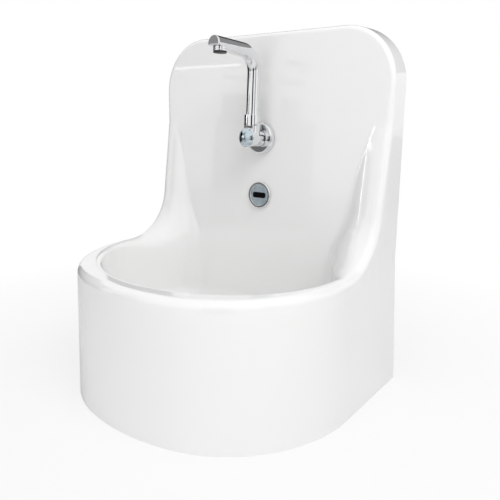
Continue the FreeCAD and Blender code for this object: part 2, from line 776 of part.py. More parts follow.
box_back = -rail_thickness
box_front = box_back - box_depth
box_top = box_bottom + box_height
post_inset = post_radius + box_wall / 2     # posts run into the walls
post_places = [V(x, 0, z) for x in (-box_left + post_inset, box_right - post_inset)
               for z in (box_bottom + post_inset, box_top - post_inset)]
board_low = box_top - box_wall - 2 * post_radius - battery_height - 2 * board_margin
board_back = box_back - box_wall - board_standoff


def control_box():
    """A tray on the rail: four posts for the lid's screws, four pillars for the board."""
    tray = block(-box_left, box_right, box_front, box_back, box_bottom, box_top)
    tray = tray.cut(block(-box_left + box_wall, box_right - box_wall, box_front - overrun, box_back - box_wall,
                          box_bottom + box_wall, box_top - box_wall))
    for place in post_places:
        tray = tray.fuse(cylinder(post_radius, box_depth, place + IN * box_back, OUT))
    for place in pillar_places():
        tray = tray.fuse(cylinder(screw_head_radius, board_standoff, place + IN * (box_back - box_wall), OUT))
    for place in post_places:
        tray = tray.cut(cylinder(screw_radius + thread_clearance, lid_screw_length, place + IN * box_front, IN))
    for place in box_screw_places:
        tray = tray.cut(cylinder(screw_radius + thread_clearance, box_wall + 2 * overrun,
                                 place + IN * (box_back + overrun), OUT))
    return tray.removeSplitter()


def pillar_places():
    left = -box_left + box_wall + board_margin + screw_head_radius
    right = box_right - box_wall - board_margin - screw_head_radius
    low, high = board_low + screw_head_radius, board_low + battery_height - screw_head_radius
    return [V(x, 0, z) for x in (left, right) for z in (low, high)]


def control_board():
    return block(-box_left + box_wall + board_margin, box_right - box_wall - board_margin,
                 board_back - board_thickness, board_back, board_low, board_low + battery_height)


def battery_pack():
    middle = (box_right - box_left) / 2
    return block(middle - battery_width / 2, middle + battery_width / 2, box_back - box_wall - battery_depth,
                 box_back - box_wall, board_low, board_low + battery_height)


def control_lid():
    lid = block(-box_left, box_right, box_front - lid_thickness, box_front, box_bottom, box_top)
    for place in post_places:
        lid = lid.cut(cylinder(screw_radius + thread_clearance, lid_thickness + 2 * overrun,
                               place + IN * (box_front + overrun), OUT))
    return lid


def lid_screws():
    face = IN * (box_front - lid_thickness)
    return Part.makeCompound([screw(place + face, lid_screw_length, IN) for place in post_places])


# Mixing valve, solenoid and the spout's feed pipe

valve_axis = V(valve_side, -valve_setback, valve_height)
inlet_end = valve_length / 2 + inlet_length
boss_end = valve_radius + valve_boss
nipple_low = valve_height + boss_end
solenoid_low = nipple_low + nipple_length
solenoid_top = solenoid_low + solenoid_height
feed_low = solenoid_top + solenoid_outlet
coil_height = solenoid_low + solenoid_height / 2


def mixing_valve():
    """A level body with an inlet at each end, an outlet on top and the dial's bush below."""
    solid = cylinder(valve_radius, valve_length, valve_axis + LEFT * valve_length / 2, RIGHT)
    solid = solid.fuse(cylinder(inlet_radius, 2 * inlet_end, valve_axis + LEFT * inlet_end, RIGHT))
    solid = solid.fuse(cylinder(valve_boss_radius, 2 * boss_end, valve_axis + DOWN * boss_end, UP))
    solid = solid.cut(cylinder(water_radius, 2 * inlet_end + 2 * overrun,
                               valve_axis + LEFT * (inlet_end + overrun), RIGHT))
    solid = solid.cut(cylinder(water_radius, boss_end + overrun, valve_axis, UP))
    return solid.cut(cylinder(stem_radius + running_clearance, stem_length + loose_clearance + overrun,
                              valve_axis + DOWN * (boss_end + overrun), UP))


def temperature_dial():
    """A fluted knob on its stem, turned from below."""
    top = valve_height - boss_end - dial_gap
    low = V(valve_side, -valve_setback, top - dial_height)
    dial = cylinder(dial_radius, dial_height, low, UP)
    for k in range(dial_flutes):
        angle = 2 * math.pi * k / dial_flutes
        edge = V(dial_radius * math.cos(angle), dial_radius * math.sin(angle), 0)
        dial = dial.cut(cylinder(dial_flute_radius, dial_height + 2 * overrun, low + edge + DOWN * overrun, UP))
    return dial.fuse(cylinder(stem_radius, dial_height + dial_gap + stem_length, low, UP))


def union_nuts():
    nuts = []
    for side in (-1, 1):
        start = valve_axis + RIGHT * side * (inlet_end + union_lap)
        nuts.append(hexagon_nut(union_flats, inlet_radius + thread_clearance, union_height, start, LEFT * side))
    return Part.makeCompound(nuts)


def supply_elbow(side):
    """Leads the building's pipe from the wall to one inlet."""
    corner = valve_axis + RIGHT * side * (inlet_end + elbow_arm)
    solid = cylinder(inlet_radius, union_lap, valve_axis + RIGHT * side * inlet_end, RIGHT * side)
    solid = solid.fuse(cylinder(elbow_tube_radius, elbow_arm, corner, LEFT * side))
    solid = solid.fuse(Part.makeSphere(elbow_tube_radius, corner))
    solid = solid.fuse(cylinder(elbow_tube_radius, valve_setback, corner, IN))
    solid = solid.fuse(cylinder(supply_radius, supply_thread,
                                corner + IN * (valve_setback - supply_thread), IN))
    solid = solid.cut(cylinder(water_radius, elbow_arm + overrun, corner, LEFT * side))
    return solid.cut(cylinder(water_radius, valve_setback + overrun, corner, IN))


def outlet_nipple():
    return tube(outlet_radius, water_radius, nipple_length, V(valve_side, -valve_setback, nipple_low), UP)


def solenoid_valve():
    low = V(valve_side, -valve_setback, solenoid_low)
    solid = cylinder(solenoid_radius, solenoid_height, low, UP)
    solid = solid.fuse(cylinder(feed_thread_radius, solenoid_height + solenoid_outlet, low, UP))
    solid = solid.fuse(cylinder(coil_neck_radius, solenoid_radius + coil_neck,
                                V(valve_side, -valve_setback, coil_height), LEFT))
    return solid.cut(cylinder(feed_bore_radius, solenoid_height + solenoid_outlet + 2 * overrun,
                              low + DOWN * overrun, UP))


def solenoid_coil():
    start = valve_side - solenoid_radius - coil_neck
    return cylinder(coil_radius, coil_length, V(start, -valve_setback, coil_height), LEFT)


def on_panel_point(point, z):
    return on_panel(Part.Vertex(point), z).Point


def feed_ends():
    """The feed pipe's route: its end at the elbow, the two corners between, its end at the solenoid."""
    high = on_panel_point(V(0, -elbow_drop, -elbow_axis), spout_height)
    over = on_panel_point(V(0, -elbow_drop - feed_run, -elbow_axis), spout_height)
    low = V(valve_side, -valve_setback, feed_low)
    return high, over, low + UP * feed_run, low


def feed_nuts():
    """A nut on each of the feed pipe's threads; its far end goes round the pipe."""
    high, over, under, low = feed_ends()
    nuts = []
    for end, way in ((high, (over - high).normalize()), (low, (under - low).normalize())):
        start = end - way * (feed_nut_height - feed_nut_grip)
        nut = hexagon(feed_nut_flats, feed_nut_height, start, way)
        nut = nut.cut(cylinder(feed_thread_radius + thread_clearance, feed_nut_height - feed_nut_grip,
                               start, way))
        nuts.append(nut.cut(cylinder(feed_radius + thread_clearance, feed_nut_height + overrun, start, way)))
    return Part.makeCompound(nuts)


def routed(points, radius):
    """A round rod along a route: straight runs joined by tangent bends as large as the runs allow."""
    solid, start, bends, length = None, points[0], [], 0
    for before, corner, after in zip(points, points[1:], points[2:]):
        arrive, leave = corner - before, after - corner
        turn = arrive.getAngle(leave)
        reach = bend_run_share * min(arrive.Length, leave.Length)
        bend = reach / math.tan(turn / 2)
        arrive.normalize()
        leave.normalize()
        first, last = corner - arrive * reach, corner + leave * reach
        axis = arrive.cross(leave).normalize()
        disc = Part.Face(Part.Wire(Part.makeCircle(radius, first, arrive)))
        for piece in (cylinder(radius, (first - start).Length, start, arrive),
                      disc.revolve(first + axis.cross(arrive) * bend, axis, math.degrees(turn))):
            solid = piece if solid is None else solid.fuse(piece)
        length += (first - start).Length + bend * turn
        bends.append(round(bend, 1))
        start = last
    final = points[-1] - start
    solid = solid.fuse(cylinder(radius, final.Length, start, final))
    length += final.Length
    print("route", round(length, 1), "bends", bends, "volume over section times length",
          round(solid.Volume / (math.pi * radius ** 2 * length), 4))
    return solid


def spout_feed():
    """A bent tube from the solenoid up to the spout's elbow."""
    points = list(feed_ends())
    return routed(points, feed_radius).cut(routed(points, feed_radius - feed_wall)).removeSplitter()


def valve_bracket():
    """Hangs the mixing valve on the lower rail by a saddle."""
    half = bracket_width / 2
    low = valve_height - saddle_height / 2
    plate = block(valve_side - half, valve_side + half, -rail_thickness - bracket_thickness, -rail_thickness,
                  low, lower_rail_height + rail_height / 2)
    saddle = block(valve_side - saddle_width / 2, valve_side + saddle_width / 2, -valve_setback,
                   -rail_thickness - bracket_thickness, low, low + saddle_height)
    saddle = saddle.cut(cylinder(valve_radius + running_clearance, bracket_width + 2 * valve_length,
                                 valve_axis + LEFT * valve_length, RIGHT))
    saddle = saddle.cut(cylinder(valve_boss_radius + running_clearance, 2 * boss_end,
                                 valve_axis + DOWN * boss_end, UP))
    bracket = plate.fuse(saddle)
    for place in bracket_screw_places:
        bracket = bracket.cut(cylinder(screw_radius + thread_clearance, bracket_thickness + rail_thickness,
                                       place, OUT))
    return bracket.removeSplitter()


# Drain and trap

drain_place = V(0, -drain_distance, 0)
floor_low = floor_height - dish_depth
flange_low = floor_low - drain_sink
flange_top = flange_low + drain_flange_thickness
strainer_low = flange_top - strainer_thickness
lip_low = strainer_low - dip_lip
seal_top = floor_low - skin
drain_nut_low = seal_top - drain_seal_thickness - drain_nut_height
trap_top = drain_nut_low - trap_seal_height - trap_neck_height
dip_radius = drain_bore_radius - loose_clearance
pipe_bore = pipe_radius + thread_clearance
stub_end = -drain_distance + trap_radius + stub_length


def drain_body():
    """Flange in the bowl's floor with its threaded tail."""
    solid = cylinder(drain_flange_radius, drain_flange_thickness, drain_place + UP * flange_low, UP)
    solid = solid.fuse(cylinder(drain_thread_radius, drain_length,
                                drain_place + UP * (flange_top - drain_length), UP))
    solid = solid.cut(cylinder(strainer_radius + loose_clearance, strainer_thickness + overrun,
                               drain_place + UP * strainer_low, UP))
    solid = solid.cut(cylinder(dip_radius + dip_lip + loose_clearance, dip_lip + overrun,
                               drain_place + UP * lip_low, UP))
    return solid.cut(cylinder(drain_bore_radius, drain_length + 2 * overrun,
                              drain_place + UP * (flange_top - drain_length - overrun), UP))


def drain_strainer():
    """A plate with two circles of holes."""
    low = drain_place + UP * strainer_low
    plate = cylinder(strainer_radius, strainer_thickness, low, UP)
    for count, share in zip(strainer_counts, strainer_circle_shares):
        for k in range(count):
            angle = 2 * math.pi * k / count
            hole = V(share * strainer_radius * math.cos(angle), share * strainer_radius * math.sin(angle),
                     -overrun)
            plate = plate.cut(cylinder(strainer_hole_radius, strainer_thickness + 2 * overrun, low + hole, UP))
    return plate


def dip_tube():
    low = trap_bottom + trap_wall + dip_clear
    solid = cylinder(dip_radius, strainer_low - low, drain_place + UP * low, UP)
    solid = solid.fuse(cylinder(dip_radius + dip_lip, dip_lip, drain_place + UP * lip_low, UP))
    return solid.cut(cylinder(dip_radius - dip_wall, strainer_low, drain_place + UP * (low - overrun), UP))


def drain_seal():
    return tube(drain_nut_flats / 2, drain_thread_radius + loose_clearance, drain_seal_thickness,
                drain_place + UP * (seal_top - drain_seal_thickness), UP)


def drain_nut():
    return hexagon_nut(drain_nut_flats, drain_thread_radius + thread_clearance, drain_nut_height,
                       drain_place + UP * drain_nut_low, UP)


def trap_seal():
    return tube(trap_neck_radius, drain_thread_radius + thread_clearance, trap_seal_height,
                drain_place + UP * (drain_nut_low - trap_seal_height), UP)


def trap_body():
    """A low round chamber with a neck on top and the outlet towards the wall."""
    solid = cylinder(trap_radius, trap_top - trap_bottom, drain_place + UP * trap_bottom, UP)
    solid = solid.fuse(cylinder(trap_neck_radius, trap_top + trap_neck_height - trap_bottom,
                                drain_place + UP * trap_bottom, UP))
    outlet = drain_place + UP * outlet_height
    solid = solid.fuse(cylinder(pipe_bore + stub_wall, trap_radius + stub_length, outlet, IN))
    inside = cylinder(trap_radius - trap_wall, trap_top - trap_bottom - 2 * trap_wall,
                      drain_place + UP * (trap_bottom + trap_wall), UP)
    solid = solid.cut(inside)
    solid = solid.cut(cylinder(drain_thread_radius + thread_clearance, trap_top,
                               drain_place + UP * outlet_height, UP))
    solid = solid.cut(cylinder(pipe_radius - pipe_wall, trap_radius + stub_length, outlet, IN))
    return solid.cut(cylinder(pipe_bore, pipe_seat + overrun, V(0, stub_end - pipe_seat, outlet_height), IN))


def waste_pipe():
    """Tube from the trap to the wall, with a ring groove where the wall's socket ends."""
    pipe = tube(pipe_radius, pipe_radius - pipe_wall, pipe_seat - stub_end,
                V(0, stub_end - pipe_seat, outlet_height), IN)
    return pipe.cut(tube(pipe_radius + overrun, pipe_radius - mark_depth, mark_width,
                         V(0, -socket_depth - mark_width, outlet_height), IN))


def slip_seal():
    return tube(pipe_bore + stub_wall, pipe_bore, slip_seal_height, V(0, stub_end, outlet_height), IN)


def slip_nut():
    """Round nut with grip ribs; its lip presses the seal on the outlet's end."""
    start = V(0, stub_end + slip_seal_height + slip_nut_lip - slip_nut_height, outlet_height)
    nut = cylinder(slip_nut_radius - slip_rib_radius, slip_nut_height, start, IN)
    for k in range(slip_ribs):
        angle = 2 * math.pi * k / slip_ribs
        radius = slip_nut_radius - slip_rib_radius
        rib = V(radius * math.cos(angle), 0, radius * math.sin(angle))
        nut = nut.fuse(cylinder(slip_rib_radius, slip_nut_height, start + rib, IN))
    nut = nut.cut(cylinder(pipe_bore + stub_wall + thread_clearance, slip_nut_height - slip_nut_lip, start, IN))
    return nut.cut(cylinder(pipe_bore, slip_nut_height + overrun, start, IN))


PIECES = {
    "sink_shell": sink_shell(),
    "upper_rail": rail(upper_rail_height, []),
    "lower_rail": rail(lower_rail_height, box_screw_places + bracket_screw_places),
    "control_box": control_box(), "control_lid": control_lid(), "lid_screws": lid_screws(),
    "box_screws": rail_screws(box_screw_places, box_wall), "control_board": control_board(),
    "battery_pack": battery_pack(),
    "mixing_valve": mixing_valve(), "temperature_dial": temperature_dial(), "union_nuts": union_nuts(),
    "hot_elbow": supply_elbow(-1), "cold_elbow": supply_elbow(1), "outlet_nipple": outlet_nipple(),
    "solenoid_valve": solenoid_valve(), "solenoid_coil": solenoid_coil(), "feed_nuts": feed_nuts(),
    "spout_feed": spout_feed(), "valve_bracket": valve_bracket(),
    "bracket_screws": rail_screws(bracket_screw_places, bracket_thickness),
    "drain_body": drain_body(), "drain_strainer": drain_strainer(), "dip_tube": dip_tube(),
    "drain_seal": drain_seal(), "drain_nut": drain_nut(), "trap_seal": trap_seal(), "trap_body": trap_body(),
    "waste_pipe": waste_pipe(), "slip_seal": slip_seal(), "slip_nut": slip_nut(),
}
SPOUT_PIECES = {
    "flange_gasket": flange_gasket(), "spout_flange": spout_flange(), "spout_body": spout_body(),
    "valve_cartridge": valve_cartridge(), "knob_spindle": knob_spindle(), "front_knob": front_knob(),
    "swivel_collar": swivel_collar(), "collar_screw": collar_screw(), "swivel_bush": swivel_bush(),
    "spout_seals": spout_seals(), "spout_tube": spout_tube(), "aerator_housing": aerator_housing(),
    "aerator_insert": aerator_insert(), "aerator_washer": aerator_washer(),
    "shank_washer": shank_washer(), "shank_nut": shank_nut(), "shank_elbow": shank_elbow(),
}
SENSOR_PIECES = {
    "sensor_gasket": sensor_gasket(), "sensor_bezel": sensor_bezel(), "sensor_face": sensor_face(),
    "sensor_window": sensor_window(), "sensor_barrel": sensor_barrel(), "sensor_nut": sensor_nut(),
}
for pieces, z in ((SPOUT_PIECES, spout_height), (SENSOR_PIECES, sensor_height)):
    for name, shape in pieces.items():
        PIECES[name] = on_panel(shape, z)

os.makedirs("parts", exist_ok=True)
mount_height = (lower_rail_height + upper_rail_height) / 2
for name, shape in PIECES.items():
    shape.translate(DOWN * mount_height)
    shape.exportStep("parts/" + name + ".step")
    print(name, len(shape.Solids), round(shape.Volume, 1), shape.isValid())
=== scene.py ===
import json
import math

import bpy
import numpy as np
from mathutils import Matrix, Vector


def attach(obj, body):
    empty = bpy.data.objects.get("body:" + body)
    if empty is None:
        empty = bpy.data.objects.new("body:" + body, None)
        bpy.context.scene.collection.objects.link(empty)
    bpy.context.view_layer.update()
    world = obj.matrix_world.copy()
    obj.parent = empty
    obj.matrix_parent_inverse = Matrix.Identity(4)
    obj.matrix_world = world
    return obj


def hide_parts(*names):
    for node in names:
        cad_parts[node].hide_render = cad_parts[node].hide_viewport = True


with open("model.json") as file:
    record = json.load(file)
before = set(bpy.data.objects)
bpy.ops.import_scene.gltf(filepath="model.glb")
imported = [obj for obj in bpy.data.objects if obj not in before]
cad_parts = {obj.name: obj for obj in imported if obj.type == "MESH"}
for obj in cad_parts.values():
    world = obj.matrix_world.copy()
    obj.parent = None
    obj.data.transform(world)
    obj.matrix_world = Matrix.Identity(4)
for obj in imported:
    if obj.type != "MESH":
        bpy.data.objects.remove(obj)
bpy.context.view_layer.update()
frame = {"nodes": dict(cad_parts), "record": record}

# Shapes are in millimetres, with heights counted from the apron's bottom edge; finishes, lamps and
# cards are in the frame's metres.
METRE = 0.001
LOWERED = 445.0                 # the apron's bottom edge below the frame's origin
TURN, QUARTER = 2 * math.pi, math.pi / 2
SMOOTH_ANGLE = 35.0             # degrees between faces that still shade as one
RING_POINTS, ARC_STEPS = 96, 6  # points round a turned piece, steps along a rounded corner
SEAM_GAP = 0.1                  # between the first and last points of a closed profile

# Splashback: a plane that leans back, PANEL from the wall at the height PANEL_AT.
PANEL, PANEL_SLOPE, PANEL_AT = 63.0, 0.065, 494.0
LEAN = math.atan(PANEL_SLOPE)
OUT_AXIS = (0.0, -math.cos(LEAN), math.sin(LEAN))
SPOUT_HEIGHT, SENSOR_HEIGHT = 494.0, 373.0


# ---------------------------------------------------------------- meshes

def in_frame(points):
    """Millimetres over the apron's bottom edge to the frame's metres."""
    return points * METRE - np.array([0.0, 0.0, LOWERED * METRE])


def placed(name, data):
    """A new object of the scene with this data."""
    made = bpy.data.objects.new(name, data)
    bpy.context.scene.collection.objects.link(made)
    return made


def piece(name, grid, wrap_v=False, start=None, end=None, sharp=SMOOTH_ANGLE):
    """A grid of points, closed along u, becomes quads; start and end are poles that close its ends.

    The faces are turned outwards by the sign of the volume they enclose.
    """
    nu, nv = grid.shape[:2]
    cell = np.arange(nu * nv).reshape(nu, nv)
    if wrap_v:
        cell = np.concatenate([cell, cell[:, :1]], 1)
    beside = np.roll(cell, -1, 0)
    quads = np.stack([cell[:, :-1], beside[:, :-1], beside[:, 1:], cell[:, 1:]], -1)
    quads = quads.reshape(-1, 4)
    points = [grid.reshape(-1, 3)]
    fans = []
    for pole, row, step in ((start, 0, 1), (end, -1, -1)):
        if pole is not None:
            hub = np.full(nu, sum(map(len, points)))
            points.append(np.array(pole, float).reshape(1, 3))
            fans.append(np.stack([hub, beside[:, row], cell[:, row]][::step], -1))
    points = np.concatenate(points)
    triangles = np.concatenate([quads[:, [0, 1, 2]], quads[:, [0, 2, 3]]] + fans)
    corner = points[triangles]
    volume = np.einsum("ij,ij->i", corner[:, 0], np.cross(corner[:, 1], corner[:, 2])).sum()
    if volume < 0:
        quads, fans = quads[:, ::-1], [fan[:, ::-1] for fan in fans]
    faces = quads.tolist() + [row for fan in fans for row in fan.tolist()]
    mesh = bpy.data.meshes.new(name)
    mesh.from_pydata(in_frame(points), [], faces)
    mesh.update()
    mesh.polygons.foreach_set("use_smooth", np.ones(len(mesh.polygons), bool))
    mesh.set_sharp_from_angle(angle=math.radians(sharp))
    return placed(name, mesh)


def panel_depth(z):
    """Wall to the splashback's face: a plane that leans back."""
    return PANEL + PANEL_SLOPE * (PANEL_AT - z)


def on_panel(points, height):
    """From the splashback's own axes (across, up along it, out of it) at a height to the sink's."""
    x, y, z = points[..., 0], points[..., 1], points[..., 2]
    return np.stack([x, -panel_depth(height) + y * math.sin(LEAN) - z * math.cos(LEAN),
                     height + y * math.cos(LEAN) + z * math.sin(LEAN)], -1)


def panel_piece(name, grid, height, poles=(None, None), **how):
    """A piece whose grid and poles are given in the splashback's own axes at a height."""
    start, end = (pole and on_panel(np.array(pole, float), height) for pole in poles)
    return piece(name, on_panel(grid, height), start=start, end=end, **how)


def turned(name, profile, height, axis="out", offset=0.0, ring=False):
    """A profile of (radius, place along the axis) turned round an axis of the splashback.

    The axis runs out of the splashback, or up along it at the distance offset from it. A ring's
    profile closes on itself; otherwise both ends close at the axis.
    """
    profile = np.array(profile, float)
    angle = np.linspace(0.0, TURN, RING_POINTS, endpoint=False)[:, None]
    radius, along = profile[None, :, 0], profile[None, :, 1] + 0 * angle
    a, b = radius * np.cos(angle), radius * np.sin(angle)
    up = axis == "up"
    grid = np.stack([b, along, a + offset] if up else [a, b, along], -1)
    if ring:
        return panel_piece(name, grid, height, wrap_v=True)
    poles = [(0.0, end, offset) if up else (0.0, 0.0, end) for end in profile[[0, -1], 1]]
    return panel_piece(name, grid, height, poles)


def rounded(corners, radii):
    """A profile through corners, each cut by an arc of its radius between two tangent points."""
    corners = [np.array(c, float) for c in corners]
    t = np.linspace(0, 1, ARC_STEPS + 1)[:, None]
    out = [corners[0]]
    for before, here, after, radius in zip(corners, corners[1:], corners[2:], radii):
        if radius == 0:
            out.append(here)
            continue
        to, on = before - here, after - here
        to, on = to / np.linalg.norm(to), on / np.linalg.norm(on)
        half = math.acos(float(np.clip(to @ on, -1, 1))) / 2
        middle = (to + on) / np.linalg.norm(to + on)
        centre = here + middle * radius / math.sin(half)
        first = here + to * radius / math.tan(half) - centre
        last = here + on * radius / math.tan(half) - centre
        sweep = math.pi - 2 * half
        arc = (np.sin((1 - t) * sweep) * first + np.sin(t * sweep) * last) / math.sin(sweep)
        out.extend(centre + arc)
    out.append(corners[-1])
    return out


# ---------------------------------------------------------------- moulded shell

# Outside: depth, half width, rim's height and full height; half width over the rim; radii.
DEPTH, HALF, RIM, TOP = 485.9, 300.0, 263.0, 708.0
UPPER_HALF = 287.0
DRAFT = (HALF - UPPER_HALF) / RIM
PITCH = math.atan(DRAFT)
SIDE_RADIUS, FRONT_RADIUS, TOP_CORNER = 262.0, 423.0, 108.0
RIM_EDGE, WING_EDGE, TOP_EDGE = 16.0, 13.0, 9.0
SKIN = 7.0                      # the moulding's thickness

# Wings: their front edge is a plane that leaves the splashback at TIP and sweeps out to the rim.
TIP, WING_SLOPE, SWEEP = 527.0, 0.163, 115.0
TILT = math.atan(WING_SLOPE)
FLARE = math.radians(30.0)
WING_SWELL, RIM_ROUND, RIDGE = 85.0, 10.0, 266.0
FLANK_START, FLANK_RUN, LIFT_RUN = 30.0, 90.0, 120.0    # heights over the rim where wings take over
BACK_REACH, BACK_SWELL, DRAWN_IN = 200.0, 0.5, 20.0     # softer edge and narrower bowl at the back
EDGE_COSINE, EDGE_COSINE_RISE = 0.1, 0.4                # at the rim, and what the wings add
# Crease between wing and splashback: radius at TIP, its growth down to the rim and below it.
CREASE, CREASE_GROWTH, CREASE_POWER, CREASE_BELOW = 2.0, 40.0, 2.5, 0.1383
CREASE_COSINE = 0.5

# Bowl: half width, reach from the wall, slope of its wall, inset and share of its side arcs; floor.
BOWL_HALF, BOWL_REACH, BOWL_DRAFT = 259.0, 434.0, 0.12
BOWL_INSET, INSET_FALL, SIDE_SHARE = 48.4, 0.01, 0.53
FLOOR, FLOOR_ROUND, FLOOR_COSINE = 95.0, 58.0, 0.1
DISH, DISH_DEPTH = 100.0, 5.0
DRAIN_Y, DRAIN_RING, DRAIN_HOLE, DRAIN_SINK = -252.0, 36.3, 23.3, 2.5
# The back skin's drop round the drain, and a height that all of the bowl is over.
BACK_SEAT, BACK_FADE, UNDER_BOWL = 43.0, 25.0, 50.0

# Grid: points along the outer edge, rows from the bottom edge to the drain.
N_BOW, N_CORNER, N_TOP_CORNER, N_TOP = 36, 40, 30, 22
N_RIM, N_SWEEP, N_WING, N_EDGE = 5, 34, 34, 10
WALL_ROWS, ARC_ROWS, ROWS = 10, 8, 156
EDGE_ROWS = WALL_ROWS + ARC_ROWS
TRIAL = np.linspace(0, 1, 420) ** 1.25          # first shares of the way from the edge to the drain
TURN_WEIGHT, COST_SPAN, SETTLE = 90.0, 9, 14.0  # length per radian, steps averaged, rows to settle
FAN_SEEN, FAN_EVEN = 0.6, 0.4                   # shares of seen and even angle round the drain
BACK_STEP, BACK_ARC_STEP, BACK_WALL_ROWS = 4, 2, [8, 5, 2, 0]   # rows that the back skin keeps

# Rays that find the front skin start here, over the bowl.
EYE = np.array([0.0, -285.0, 430.0])
MARCH = np.linspace(20.0, 900.0, 221)
HALVINGS = 26


def wing_depth(z):
    """Wall to the wings' front edge: a steeper plane that meets the splashback at their tips."""
    return panel_depth(TIP) + WING_SLOPE * (TIP - z)


def ease(t):
    """A step from 0 to 1 with level ends: 3 t squared less 2 t cubed."""
    t = np.clip(t, 0.0, 1.0)
    return t * t * (3.0 - 2.0 * t)


def round_min(a, b, radius, cosine):
    """The smaller of two distances, with an arc of the radius where their two faces meet.

    cosine is that of the angle between the faces' normals: near the edge the distance is the radius
    less the distance from the arc's centre line.
    """
    ua, ub = radius - a, radius - b
    within = (ua > cosine * ub) & (ub > cosine * ua)
    square = np.maximum(ua * ua + ub * ub - 2 * cosine * ua * ub, 0.0)
    away = np.sqrt(square / (1 - cosine ** 2))
    return np.where(within, radius - away, np.minimum(a, b))


def soft_min(a, b, k):
    """The smaller of two distances with a parabola where they differ by less than k."""
    h = np.maximum(k - np.abs(a - b), 0.0) / k
    return np.minimum(a, b) - h * h * k / 4


def bowl_wall(x, y, z):
    """Distance inside the bowl's wall at a height.

    Its plan has flared flats, side arcs and a front arc, tangent to each other.
    """
    rise = z - RIM
    ax = np.abs(x)
    half = BOWL_HALF + BOWL_DRAFT * rise
    reach = BOWL_REACH + BOWL_DRAFT * rise
    inset = BOWL_INSET - INSET_FALL * np.maximum(rise, 0.0)
    side = SIDE_SHARE * (BOWL_REACH - panel_depth(RIM)) - BOWL_DRAFT * np.abs(rise)
    run = (inset - side * (1 - math.cos(FLARE))) / math.sin(FLARE)
    sx = half - side
    sy = -panel_depth(z) - run * math.cos(FLARE) - side * math.sin(FLARE)
    ahead = sy + reach
    front = (sx ** 2 + ahead ** 2 - side ** 2) / (2 * (ahead - side))
    fy = front - reach
    turn = np.arctan2(fy - sy, sx)
    qx, qy = ax - sx, y - sy
    angle = np.arctan2(qy, qx)
    flat = side - (qx * math.cos(FLARE) + qy * math.sin(FLARE))
    bend = side - np.hypot(qx, qy)
    bow = front - np.hypot(ax, y - fy)
    return np.where(angle > FLARE, flat, np.where(angle > -turn, bend, bow))


def air(points):
    """Distance from the moulding's front skin, positive in the open air.

    Rim and wings lie behind the wall and behind the body, which is the smaller of rim and wing
    distances with a wide sweep. Their edge is a small round at the rim's front and a wide swell up
    the wings; towards the splashback the rim's edge softens too, and the bowl is drawn in. The air
    is the smallest of the distances to these, to the splashback and to the floor, with corners that
    soften downwards.
    """
    x, y, z = points[..., 0], points[..., 1], points[..., 2]
    panel = (-y - panel_depth(z)) * math.cos(LEAN)
    wing = (-y - wing_depth(z)) * math.cos(TILT)
    high = ease((z - RIM - FLANK_START) / FLANK_RUN)
    back = ease(1.0 - panel / BACK_REACH)
    lift = ease((z - RIM) / LIFT_RUN)
    swell = RIM_ROUND + (WING_SWELL - RIM_ROUND) * np.maximum(lift, BACK_SWELL * back)
    root = RIDGE - WING_SWELL * math.tan(FLARE)
    flank = wing * math.sin(FLARE) - (np.abs(x) - root) * math.cos(FLARE)
    drawn_in = DRAWN_IN * back * (1 - lift) * ease((z - FLOOR) / (RIM - FLOOR))
    wall = (bowl_wall(x, y, z) - drawn_in) * (1 - high) + flank * high
    body = round_min(z - RIM, wing, SWEEP, math.sin(TILT))
    cosine = EDGE_COSINE + EDGE_COSINE_RISE * ease((z - RIM) / FLANK_RUN)
    solid = round_min(-wall, -body, swell, cosine)
    low = np.clip((TIP - z) / (TIP - RIM), 0.0, 1.0)
    crease = CREASE + CREASE_GROWTH * low ** CREASE_POWER + CREASE_BELOW * np.maximum(RIM - z, 0.0)
    sides = round_min(panel, -solid, crease, CREASE_COSINE)
    ring = (DISH - np.hypot(x, y - DRAIN_Y)) / (DISH - DRAIN_RING)
    dish = DISH_DEPTH * np.clip(ring, 0.0, 1.0)
    return round_min(sides, z - FLOOR + dish, FLOOR_ROUND, FLOOR_COSINE)


